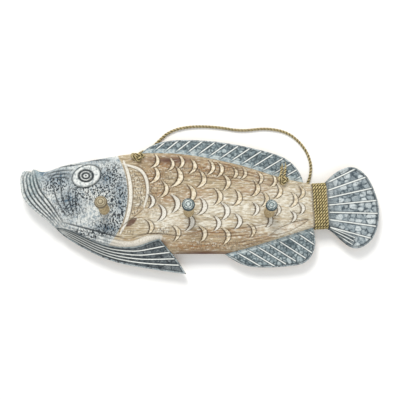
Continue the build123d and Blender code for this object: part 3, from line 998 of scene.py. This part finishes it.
# ---------------------------------------------------------------- the rope, its knots and the binding

ROPE_SIZE = 4.8
ROPE_LAY = 11          # length in which a strand goes once round
ROPE_STEP = 0.8        # from one ring of a strand's points to the next
TURN_SIZE = 4.6
NECK_ROUND = 8
# The rope's route from its front hole to its rear hole, in mm.
ROPE_ROUTE = [
    (-102.2, 87.6, 14.5), (-101.2, 90.8, 7.2), (-97.8, 93.6, 2.6), (-84.5, 96.6, 2.6), (-72, 110, 2.6),
    (-50, 129.8, 2.6), (-12, 137.2, 2.6), (32, 135.2, 2.6), (70, 128.4, 2.6), (112, 133.8, 2.6),
    (150, 126.5, 2.6), (176, 103, 2.6), (188.6, 76, 2.6), (187.5, 52, 2.6), (180, 35, 2.6),
    (167.5, 29.8, 2.6), (156.5, 32.4, 2.6), (150.9, 34.8, 6.2), (146.8, 36.6, 13.0),
]


def spline_points(route):
    """The points of the smooth NURBS line that a route's points control, in mm."""
    curve = bpy.data.curves.new("route", "CURVE")
    curve.dimensions = "3D"
    spline = curve.splines.new("NURBS")
    spline.points.add(len(route) - 1)
    for point, place in zip(spline.points, route):
        point.co = (*(MM * c for c in place), 1)
    spline.order_u = 3
    spline.use_endpoint_u = True
    spline.resolution_u = 10
    holder = bpy.data.objects.new("route", curve)
    mesh = bpy.data.meshes.new_from_object(holder)
    line = np.array([vertex.co for vertex in mesh.vertices]) / MM
    bpy.data.objects.remove(holder)
    bpy.data.curves.remove(curve)
    bpy.data.meshes.remove(mesh)
    return line


def finer(line, step):
    """The same line with points about step apart."""
    long = np.linalg.norm(np.diff(line, axis=0), axis=1).sum()
    return spaced(line, max(2, int(long / step)) + 1)


def unit(rows):
    """Rows scaled to a length of one."""
    return rows / np.maximum(np.linalg.norm(rows, axis=1), 1e-9)[:, None]


def sides_of(line, closed=False):
    """Two directions square to a line at each of its points, which don't twist along it."""
    if closed:
        heading = unit(np.roll(line, -1, axis=0) - np.roll(line, 1, axis=0))
    else:
        heading = unit(np.gradient(line, axis=0))
    side = np.empty_like(line)
    first = Vector(heading[0]).orthogonal().normalized()
    side[0] = first
    for k in range(1, len(line)):
        carried = side[k - 1] - heading[k] * (side[k - 1] @ heading[k])
        side[k] = carried / np.linalg.norm(carried)
    if closed:
        carried = side[-1] - heading[0] * (side[-1] @ heading[0])
        other = np.cross(heading[0], carried)
        slip = math.atan2(side[0] @ other, side[0] @ carried)
        turn = (slip * np.arange(len(line)) / len(line))[:, None]
        side = side * np.cos(turn) + np.cross(heading, side) * np.sin(turn)
    return side, np.cross(heading, side)


def measured(line):
    """How far along a line each of its points is, and how long the line is once it is closed."""
    ahead = np.cumsum(np.linalg.norm(np.diff(line, axis=0, append=line[:1]), axis=1))
    return np.append(0, ahead[:-1]), ahead[-1]


def fibre_tube(line, radius, lobes, twist, seed, corners=12, closed=False, taper=None):
    """A yarn along a line: a tube whose ridged section turns as it goes. Gives its places and its faces."""
    side, other = sides_of(line, closed)
    along, _ = measured(line)
    phase = np.random.default_rng(seed).uniform(0, math.tau)
    around = math.tau * np.arange(corners) / corners
    ridge = 1 + 0.09 * np.sin(lobes * around[None] + twist * along[:, None] + phase)
    ridge *= 1 + 0.05 * ripple(along, along * 0, 5, seed)[:, None]
    size = radius * ridge * (1 if taper is None else taper[:, None])
    places = round_rings(line, size, side, other)
    return places.reshape(-1, 3), tube_faces(len(line), corners, closed)


def laid_strands(line, size, lay, seed, closed=False):
    """The two strands of a laid cord round a line: a list of (places, faces, crease shade, number)."""
    side, other = sides_of(line, closed)
    along, around = measured(line)
    long = around if closed else along[-1]
    turns = round(long / lay) if closed else long / lay
    strands = []
    for ply in range(2):
        angle = math.tau * (turns * along / long) + math.tau * ply / 2
        wander = 1 + 0.06 * ripple(along, along * 0 + 3 * ply, 11, seed + ply)
        offset = size * 0.25 * wander
        path = line + offset[:, None] * (np.cos(angle)[:, None] * side + np.sin(angle)[:, None] * other)
        places, faces = fibre_tube(path, size * 0.275, 5, -1.6, seed + 7 * ply, closed=closed)
        axis = np.repeat(line, len(places) // len(line), axis=0)
        # painted shade: each strand's side that faces the cord's middle line, in the crease between the
        # strands, is marked to be darkened
        crease_shade = rise(np.linalg.norm(places - axis, axis=1), size * 0.52, size * 0.38)
        strands.append((places, faces, crease_shade, ply))
    return strands


def cord_piece(name, strands, material):
    """Joins strands into one piece, with the painted shade of its creases and each strand's own tone stored.
    """
    places, faces, crease_shades, tones = [], [], [], []
    start = 0
    for points, strand_faces, crease_shade, ply in strands:
        places.append(points)
        faces += [tuple(start + i for i in face) for face in strand_faces]
        crease_shades.append(crease_shade)
        tones.append(np.full(len(points), 0.5 * (ply % 3)))
        start += len(points)
    piece = piece_from(name, np.vstack(places), faces, material)
    store(piece, "crease_shade", np.concatenate(crease_shades))
    store(piece, "tone", np.concatenate(tones))
    return piece


def rope(material):
    """The hanging rope along its route."""
    line = spline_points(ROPE_ROUTE)
    strands = laid_strands(finer(line, ROPE_STEP), ROPE_SIZE, ROPE_LAY, 31)
    piece = cord_piece("seagrass_rope", strands, material)
    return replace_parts(piece, "hanging_rope"), line


def knot_line(centre, size, turn):
    """A pulled-tight overhand knot, as one closed line that fills a box of the given size."""
    t = np.linspace(0, math.tau, 120, endpoint=False)
    flat = np.column_stack([np.sin(t) + 2 * np.sin(2 * t), np.cos(t) - 2 * np.cos(2 * t), -np.sin(3 * t)])
    room = (np.array(size) - ROPE_SIZE) / np.ptp(flat, axis=0)
    x, y, z = ((flat - (flat.max(axis=0) + flat.min(axis=0)) / 2) * room).T
    c, s = math.cos(turn), math.sin(turn)
    return np.array(centre) + np.column_stack([c * x - s * y, s * x + c * y, z])


def stub(points, size, seed):
    """A short open length of the same rope."""
    return laid_strands(finer(smooth(points), ROPE_STEP), size, ROPE_LAY, seed)


def loops(centre, size, turn, thickness, lay, seed):
    """The strands of a closed knot round a centre, turned by some degrees."""
    return laid_strands(knot_line(centre, size, math.radians(turn)), thickness, lay, seed, closed=True)


def front_knot(material):
    """The knot that stops the rope on the face, in front of the fish's back fin."""
    centre = np.array([*middle_of("front_knot")[:2], box("front_knot")[1][2] - 7.2])
    strands = loops(centre, (23, 14, 13), -4, 5.2, 12, 41)
    strands += loops(centre + [1, 0, -1.5], (17, 11, 9), 24, ROPE_SIZE, ROPE_LAY, 45)
    strands += stub([centre + [2, 2, -2], centre + [3, 4, -9], centre + [2.3, 7.5, -16]], ROPE_SIZE, 43)
    strands += whiskers(centre + [7, 1, 1], (5, 2.5, 0.5), 5, 5, 47)
    strands += whiskers(centre + [-8, 0, 1], (-5, 2, 0.5), 4, 4, 48)
    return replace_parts(cord_piece("front_rope_knot", strands, material), "front_knot")


def whiskers(root, way, spread, count, seed):
    """Loose fibres that stand out of a cut end."""
    chance = np.random.default_rng(seed)
    made = []
    for k in range(count):
        tip = np.array(root) + np.array(way) * chance.uniform(0.7, 1.2)
        tip += chance.normal(0, 0.22 * spread, 3) * [1, 1, 0.3]
        bend = (np.array(root) + tip) / 2 + chance.normal(0, 0.12 * spread, 3) * [1, 1, 0.4]
        start = np.array(root) + chance.normal(0, 0.7, 3)
        line = finer(smooth([start, bend, tip]), 0.9)
        taper = np.linspace(1, 0.45, len(line))
        places, faces = fibre_tube(line, 0.42, 3, 1.2, seed + k, corners=6, taper=taper)
        # the loose fibres carry a slight, even painted shade
        made.append((places, faces, np.full(len(places), 0.15), k))
    return made


def rear_knot(material):
    """The rear knot and its two loose ends, which lie up over the back fin and fray."""
    low, high = box("rear_knot")
    fin_top = box("dorsal_fin")[1][2]
    centre = np.array([(low[0] + high[0]) / 2 - 0.6, low[1] + 9.5, high[2] - 7])
    strands = loops(centre, (19, 14.5, 13), -14, 5.0, 12, 51)
    strands += stub([centre + [0, -1, -2], centre + [5, -3, -9], centre + [10, -6, -19]], ROPE_SIZE, 53)
    for lane, reach, seed in ((-3.2, 27, 55), (2.6, 30, 57)):
        end = np.array([centre[0] + lane + 2.2, centre[1] + reach * 0.72, fin_top + 3.4])
        above = (centre + end) / 2 + [lane * 0.5, 3.5, -0.6]
        strands += stub([centre + [0.5 * lane, 2, 1], centre + [lane, 9, 0.2], above, end], 4.6, seed)
        strands += whiskers(end, (0.6 + 0.2 * lane, 7.5, -0.6), 8, 9, seed + 1)
    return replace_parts(cord_piece("rear_rope_knot", strands, material), "rear_knot")


def neck_frame():
    """Rows that turn directions given across, above and along the neck into the fish's own."""
    return np.array([[*NECK_ACROSS, 0], [0, 0, 1], [*NECK_AXIS, 0]])


def binding(material):
    """Five turns of cord side by side round the neck."""
    half_width, half_height, radius, _ = neck_section()
    reach = TURN_SIZE / 2
    turns = 5
    strands = []
    for k in range(turns):
        loop = rounded_loop(half_width + reach, half_height + reach, radius + reach, 0.9)
        ahead = (k - (turns - 1) / 2) * TURN_SIZE + 0.45 * ripple(loop[:, 0], loop[:, 1], 13, 60 + k)
        line = on_neck(ahead, loop[:, 0], loop[:, 1])
        away = np.column_stack([outward(loop), np.zeros(len(loop))]) @ neck_frame()
        for places, faces, crease_shade, ply in laid_strands(line, TURN_SIZE, 10.5, 61 + 9 * k, closed=True):
            offset = places.reshape(len(loop), -1, 3) - line[:, None]
            lift = (offset * away[:, None]).sum(axis=2).ravel()
            # painted shade also where a strand lies low on its turn, in the gap next to the neighbouring
            # turns
            strands.append((places, faces, np.maximum(crease_shade, rise(lift, 0.7 * reach, 0.2 * reach)), ply))
    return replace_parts(cord_piece("tail_binding_cord", strands, material), "tail_binding")


# ---------------------------------------------------------------- the pegs

def peg_axis(end):
    """Foot point and direction of a peg, from its shank and knob."""
    shank, knob = middle_of(f"{end}_peg_shank"), middle_of(f"{end}_peg_knob")
    return shank, (knob - shank) / np.linalg.norm(knob - shank)


def span(node, foot, axis):
    """Lowest and highest place of a node along an axis, and its radius round it."""
    offset = places_of(frame["nodes"][node]) - foot
    along = offset @ axis
    return along.min(), along.max(), np.linalg.norm(offset - np.outer(along, axis), axis=1).max()


def turned(name, foot, axis, profile, material, wobble, seed, corners=72):
    """A piece turned from (radius, height) points, a little uneven where it is finished by hand."""
    side, other = sides_of(np.array([[0, 0, 0], axis]))
    rows = np.array(profile)
    around = math.tau * np.arange(corners) / corners
    across = np.cos(around)[None] * 9 + rows[:, 1:] * 0.4
    uneven = 1 + wobble * ripple(across, np.sin(around)[None] * 9 + 20, 5, seed)
    places = round_rings(foot + rows[:, 1:] * axis, rows[:, :1] * uneven, side[:1], other[:1])
    faces = tube_faces(len(rows), corners)
    piece = piece_from(name, places.reshape(-1, 3), faces, material)
    store(piece, "across", np.repeat(rows[:, 0] / rows[:, 0].max(), corners))
    store(piece, "up", np.repeat((rows[:, 1] - rows[0, 1]) / np.ptp(rows[:, 1]), corners))
    return piece


def knob_profile(low, high, radius):
    """A button knob: a waist, a rounded rim and two rings turned into its top."""
    tall = high - low
    shape = [(0.66, 0), (0.7, 0.05), (0.7, 0.14), (0.76, 0.24), (0.88, 0.33), (0.97, 0.43), (1, 0.54),
             (0.985, 0.64), (0.93, 0.74), (0.85, 0.82), (0.77, 0.87), (0.72, 0.87), (0.69, 0.845),
             (0.66, 0.85), (0.63, 0.89), (0.56, 0.93), (0.47, 0.945), (0.42, 0.93), (0.39, 0.9), (0.35, 0.9),
             (0.31, 0.935), (0.24, 0.97), (0.14, 0.99), (0.03, 1)]
    return [(max(share, 0.01) * radius, low + height * tall) for share, height in smooth(shape, 4)]


def peg(end, wood, coat):
    """One peg: a shank glued into the body and a painted knob on top of it."""
    foot, axis = peg_axis(end)
    low, high, radius = span(f"{end}_peg_shank", foot, axis)
    shape = [(radius * (1 - 0.10 * s + 0.015 * math.sin(9 * s)), low + s * (high - low))
             for s in np.linspace(0, 1, 30)]
    shank = turned(f"{end}_peg_stem", foot, axis, shape, wood, 0.03, 70)
    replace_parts(shank, f"{end}_peg_shank")
    low, high, radius = span(f"{end}_peg_knob", foot, axis)
    shape = knob_profile(low, high, radius)
    knob = turned(f"{end}_peg_button", foot, axis, shape, coat, 0.02, 71)
    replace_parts(knob, f"{end}_peg_knob")


# ---------------------------------------------------------------- materials

def colour(code):
    """A linear colour from a hex code."""
    parts = [int(code[i:i + 2], 16) / 255 for i in (1, 3, 5)]
    return (*(p / 12.92 if p < 0.04045 else ((p + 0.055) / 1.055) ** 2.4 for p in parts), 1)


class Coats:
    """A material built up from its undercoat, coat by coat."""

    def __init__(self, name, roughness, gloss=0.35):
        self.material = bpy.data.materials.new(name)
        self.material.use_nodes = True
        self.nodes = self.material.node_tree.nodes
        self.links = self.material.node_tree.links
        self.shader = self.nodes["Principled BSDF"]
        self.shader.inputs["Roughness"].default_value = roughness
        self.shader.inputs["Specular IOR Level"].default_value = gloss
        self.place = self.nodes.new("ShaderNodeTexCoord").outputs["Object"]

    def feed(self, socket, value):
        """Links or sets one input."""
        if isinstance(value, bpy.types.NodeSocket):
            self.links.new(value, socket)
        elif isinstance(value, str):
            socket.default_value = colour(value)
        else:
            socket.default_value = value

    def add(self, kind, output, given, **settings):
        """A new node with its inputs and settings. Gives one of its outputs."""
        node = self.nodes.new("ShaderNode" + kind)
        for name, value in settings.items():
            setattr(node, name, value)
        for name, value in given.items():
            self.feed(node.inputs[name], value)
        return node.outputs[output]

    def mapped(self, size):
        """The object's coordinates in units of size mm, which may differ along X, Y and Z."""
        size = size if isinstance(size, tuple) else (size,) * 3
        scale = [1 / (MM * s) for s in size]
        return self.add("Mapping", "Vector", {"Vector": self.place, "Scale": scale})

    def noise(self, size, detail=2.0, roughness=0.5, warp=0.0):
        """Soft noise whose features are size mm wide."""
        return self.add("TexNoise", "Fac", {"Vector": self.mapped(size), "Scale": 1.0, "Detail": detail,
                                            "Roughness": roughness, "Distortion": warp})

    def crackle(self, size):
        """How far a point is from the edges of irregular cells that are size mm wide."""
        given = {"Vector": self.mapped(size), "Scale": 1.0}
        return self.add("TexVoronoi", "Distance", given, feature="DISTANCE_TO_EDGE")

    def read(self, name):
        """An amount stored at the mesh's points."""
        return self.add("Attribute", "Fac", {}, attribute_name=name)

    def grade(self, value, start, end):
        """0 where value is start, 1 where it is end."""
        given = {"Value": value, "From Min": start, "From Max": end}
        return self.add("MapRange", "Result", given, interpolation_type="SMOOTHSTEP")

    def vary(self, value, low, high):
        """A roughness between low and high that follows a pattern."""
        return self.add("MapRange", "Result", {"Value": value, "To Min": low, "To Max": high})

    def math(self, operation, one, other):
        """One sum, cut off at 0 and 1."""
        return self.add("Math", "Value", {0: one, 1: other}, operation=operation, use_clamp=True)

    def times(self, one, other):
        """The product of two amounts."""
        return self.math("MULTIPLY", one, other)

    def blend(self, one, other, share):
        """A share of one pattern and the rest of another."""
        return self.math("ADD", self.times(one, share), self.times(other, 1 - share))

    def over(self, below, above, share):
        """One colour laid over another."""
        node = self.nodes.new("ShaderNodeMix")
        node.data_type = "RGBA"
        self.feed(node.inputs["Factor"], share)
        for socket, value in zip([s for s in node.inputs if s.type == "RGBA"], (below, above)):
            self.feed(socket, value)
        return next(s for s in node.outputs if s.type == "RGBA")

    def stored(self, below, above, name, share):
        """One colour laid over another as thickly as a stored amount says, up to a share."""
        return self.over(below, above, self.times(self.read(name), share))

    def layers(self, ground, *rows):
        """Colours over a ground: each has a pattern, its start and end, and any amounts or stored names."""
        for above, pattern, start, end, *amounts in rows:
            share = self.grade(pattern, start, end)
            for amount in amounts:
                share = self.times(share, self.read(amount) if isinstance(amount, str) else amount)
            ground = self.over(ground, above, share)
        return ground

    def bare(self, painted, streak):
        """Bare wood wherever a board isn't on its front."""
        raw = self.layers("#a58a63", ("#c9b089", streak, 0.35, 0.6))
        return self.over(raw, painted, self.read("front"))

    def finish(self, paint_colour, height, depth, roughness=None):
        """Sets the final colour, a bump of depth mm and, where it varies, the roughness."""
        self.feed(self.shader.inputs["Base Color"], paint_colour)
        bump = self.add("Bump", "Normal", {"Distance": depth * MM, "Height": height})
        self.links.new(bump, self.shader.inputs["Normal"])
        if roughness is not None:
            self.feed(self.shader.inputs["Roughness"], roughness)
        return self.material


def carved_wood():
    """Tan wood with a worn pale wash, a grey-blue painted head, cream cuts and dark ink and painted shade in
    the grooves.
    """
    coats = Coats("carved_wood", 0.7)
    streak = coats.noise((30, 1.5, 1.5), 3, 0.6)
    thin = coats.noise((18, 0.7, 0.7), 2, 0.6)
    broad = coats.noise((60, 8, 8), 2)
    mottle = coats.noise(4.2, 3, 0.6)
    fleck = coats.noise(1.7, 2, 0.6)
    smear = coats.noise((9, 2.6, 2.6), 4, 0.68)
    tooling = coats.noise((1.4, 4.2, 4.2), 2, 0.5, 0.4)

    worm = coats.noise((2.6, 3.4, 3.4), 2, 0.6, 0.3)

    wood = coats.layers(
        "#7c6c50", ("#bdaf92", streak, 0.34, 0.62), ("#a3835a", broad, 0.5, 0.68, 0.4),
        ("#8f602f", thin, 0.34, 0.62, "brown"), ("#564230", thin, 0.58, 0.7, 0.65))
    wash = coats.math("ADD", coats.read("pale"), coats.times(coats.grade(smear, 0.5, 0.68), 0.8))
    wood = coats.layers(wood, ("#dad6c8", smear, 0.3, 0.62, wash), ("#54352a", streak, 0.2, 0.5, "red"))
    skin = coats.layers(
        "#98a3a8", ("#d6d9d5", mottle, 0.34, 0.56), ("#56646d", tooling, 0.57, 0.66, 0.75),
        ("#3c5b70", mottle, 0.35, 0.62, "blue"), ("#55797e", fleck, 0.3, 0.6, "teal"),
        ("#1d272d", worm, 0.5, 0.54, "speckle"))
    surface = coats.over(wood, skin, coats.read("head"))

    chip = coats.layers("#b9a888", ("#dfd6c1", mottle, 0.34, 0.6))
    cream = coats.layers("#bcb6a6", ("#dfdcd2", fleck, 0.3, 0.56))
    cold = coats.layers("#8f9899", ("#d9dcd9", mottle, 0.34, 0.58))
    cream = coats.over(cream, cold, coats.read("head"))
    # ink and painted shade: dark brown on the wood and dark slate on the head, laid where grooves and cut
    # edges are marked
    ink_and_shade = coats.over("#4a3826", "#222a2e", coats.read("head"))
    surface = coats.layers(surface, ("#4c4438", tooling, 0.5, 0.58, "strokes", 0.75))
    surface = coats.over(surface, chip, coats.read("chip"))
    surface = coats.over(surface, cream, coats.read("cream"))
    surface = coats.layers(surface, (ink_and_shade, fleck, 0.1, 0.45, "ink_and_shade"))
    height = coats.blend(thin, fleck, 0.6)
    return coats.finish(coats.bare(surface, streak), height, 0.5, coats.vary(mottle, 0.55, 0.85))


def painted_fin(name, dark, mid, light):
    """Slate paint with pale cells and white rays, worn along its rim."""
    coats = Coats(name, 0.65)
    mottle = coats.noise(5, 3, 0.6)
    fleck = coats.noise(1.5, 2, 0.6)
    cell = coats.layers(mid, (light, coats.read("tone"), 0.1, 1.0), ("#dde1dc", fleck, 0.5, 0.7, 0.6),
                        (dark, coats.crackle(3.4), 0.07, 0.0, 0.35))
    rim = coats.layers("#7c8a90", ("#b9c1c1", fleck, 0.36, 0.62))
    base = coats.layers("#8fa3ab", ("#c6d0d0", mottle, 0.35, 0.6))
    surface = coats.layers(dark, (mid, mottle, 0.4, 0.68), (cell, mottle, 0.25, 0.45, "cell"),
                           (rim, mottle, 0.3, 0.55, "edge"))
    surface = coats.stored(surface, base, "base", 0.85)
    # ink and painted shade: dark slate in the grooves beside the rays and round the rim
    surface = coats.stored(surface, "#1f292e", "ink_and_shade", 0.85)
    surface = coats.layers(surface, ("#eef1ec", fleck, 0.15, 0.4, "ray"))
    surface = coats.bare(surface, coats.noise((30, 1.5, 1.5), 3))
    return coats.finish(surface, coats.blend(mottle, fleck, 0.5), 0.45, coats.vary(mottle, 0.5, 0.8))


def seagrass(name, dark, straw, light):
    """Twisted dry grass: straw and olive fibres, with painted shade in the creases between the strands."""
    coats = Coats(name, 0.75, 0.25)
    fibre = coats.noise(0.9, 3, 0.7)
    patch = coats.noise(9, 2)
    yarn = coats.layers(straw, (light, fibre, 0.4, 0.7), ("#8f8b5c", patch, 0.45, 0.7, 0.4),
                        (dark, fibre, 0.45, 0.3, 0.5))
    yarn = coats.stored(yarn, "#a3814f", "tone", 0.25)
    # painted shade: a near-black brown laid as thickly as the stored crease shade says
    yarn = coats.stored(yarn, "#33290f", "crease_shade", 0.9)
    return coats.finish(yarn, fibre, 0.4, coats.vary(fibre, 0.6, 0.9))


def peg_wood():
    """Smooth tan turned wood, darker in its grain."""
    coats = Coats("peg_wood", 0.6)
    fibres = coats.noise((1.1, 1.1, 24), 3, 0.6)
    wear = coats.noise(7, 2)
    wood = coats.layers("#8f7854", ("#c9b78f", fibres, 0.35, 0.62), ("#6e5739", wear, 0.5, 0.7, 0.4))
    return coats.finish(wood, fibres, 0.25, coats.vary(wear, 0.5, 0.75))


def dowel_wood():
    """Plain pale dowel wood for the pins inside the boards."""
    coats = Coats("dowel_wood", 0.65)
    fibres = coats.noise((0.8, 14, 0.8), 3, 0.6)
    return coats.finish(coats.layers("#b0925f", ("#d8c193", fibres, 0.35, 0.62)), fibres, 0.15)


def knob_paint(name, side, ring, eye_colour):
    """A painted knob: a dark side, a pale ringed top and paint worn thin on its edges."""
    coats = Coats(name, 0.5, 0.45)
    fleck = coats.noise(1.4, 2, 0.6)
    mottle = coats.noise(3.6, 3, 0.6)
    across = coats.read("across")
    flank = coats.layers(side, (ring, mottle, 0.5, 0.66, 0.45))
    top = coats.layers(ring, (eye_colour, mottle, 0.35, 0.62))
    is_top = coats.times(coats.grade(across, 0.84, 0.76), coats.grade(coats.read("up"), 0.7, 0.8))
    surface = coats.over(flank, top, is_top)
    for radius in (0.68, 0.36):
        outside = coats.math("SUBTRACT", across, radius)
        inside = coats.math("SUBTRACT", radius, across)
        gap = coats.math("MAXIMUM", outside, inside)
        surface = coats.layers(surface, (side, gap, 0.06, 0.03, is_top))
    return coats.finish(surface, coats.blend(fleck, mottle, 0.5), 0.2, coats.vary(mottle, 0.4, 0.65))


# ---------------------------------------------------------------- camera, light and floor

PHOTO_WIDTH = 670.4              # width of the view at the fish's face, in mm
CAMERA_HEIGHT = 1400
FACE_HEIGHT = 20
SENSOR = 36
VIEW_SHIFT = 11.7                # the middle of the view lies this far above the fish's frame, in mm
FLOOR_REACH, FLOOR_GAP = 4, 0.0002      # in metres


def camera():
    """Looks straight down on the fish, as it hangs flat on its wall."""
    lens = bpy.data.cameras.new("camera")
    lens.sensor_width = SENSOR
    lens.lens = SENSOR * (CAMERA_HEIGHT - FACE_HEIGHT) / PHOTO_WIDTH
    lens.clip_end = 20
    eye_point = placed("camera", lens)
    eye_point.location = (0, VIEW_SHIFT * MM, CAMERA_HEIGHT * MM)
    bpy.context.scene.camera = eye_point


def lamp(name, place, size, power, tint):
    """A soft square lamp that points at the fish."""
    light = bpy.data.lights.new(name, "AREA")
    light.size = size
    light.energy = power
    light.color = tint
    holder = placed(name, light)
    holder.location = place
    holder.rotation_euler = (-Vector(place)).to_track_quat("-Z", "Y").to_euler()


def studio():
    """A pale floor, a soft sky and two soft lamps."""
    world = bpy.data.worlds.new("studio")
    world.use_nodes = True
    sky = world.node_tree.nodes["Background"].inputs
    sky["Color"].default_value = (1.0, 1.0, 1.0, 1)
    sky["Strength"].default_value = 0.72
    bpy.context.scene.world = world
    lamp("key", (-0.25, 1.15, 1.25), 0.6, 20, (1.0, 0.985, 0.96))
    lamp("fill", (0.6, -1.2, 1.5), 1.6, 8, (0.95, 0.97, 1.0))
    bpy.context.scene.view_settings.view_transform = "Standard"

    coats = Coats("pale_floor", 0.9, 0.1)
    soft = coats.noise(260, 2)
    mesh = bpy.data.meshes.new("floor")
    corners = [(x * FLOOR_REACH, y * FLOOR_REACH, cad_box[0].z - FLOOR_GAP)
               for x, y in ((-1, -1), (1, -1), (1, 1), (-1, 1))]
    mesh.from_pydata(corners, [], [(0, 1, 2, 3)])
    mesh.materials.append(coats.finish(coats.over("#f4f4f2", "#fcfcfb", soft), soft, 0.1))
    placed("floor", mesh)


# ---------------------------------------------------------------- the whole fish

camera()
studio()

grass = seagrass("seagrass", "#77693f", "#b7a678", "#ddd0a6")
knots = (front_knot(grass), rear_knot(grass))
rope_piece, rope_line = rope(grass)
binding(seagrass("seagrass_binding", "#7d6b3e", "#c2b07a", "#eadba6"))

body(carved_wood())
body_seam = Nearest(even(body_outline(), 0.5))
fin_paint = painted_fin("painted_fin", "#37454a", "#69787d", "#a2afb1")
rayed_fin("dorsal_fin", (-16, 29.5), 1.02, (40, 28), 16, (66, 9), 21, body_seam, 6.5, fin_paint)
rayed_fin("anal_fin", (4.5, 33), -0.02, (-29, -35), 11, (62, 7), 22, body_seam, 6, fin_paint)
pelvic_fin(body_seam, painted_fin("painted_pelvic_fin", "#20272c", "#4a5459", "#929a9d"))
tail_fin(painted_fin("painted_tail", "#3c4950", "#8a969b", "#c9d1d2"))

stem_wood = peg_wood()
dark_knob = knob_paint("painted_knob", "#2a3c41", "#7b8b8b", "#c6cdc9")
pale_knob = knob_paint("painted_knob_pale", "#6b604a", "#8d8268", "#aca186")
for end, coat in zip(PEG_ENDS, (pale_knob, dark_knob, dark_knob)):
    peg(end, stem_wood, coat)

pin_wood = dowel_wood()
for node in ("dorsal_fin_dowels", "anal_fin_dowels", "pelvic_fin_dowels", "tail_pins"):
    mesh = frame["nodes"][node].data
    mesh.materials.clear()
    mesh.materials.append(pin_wood)
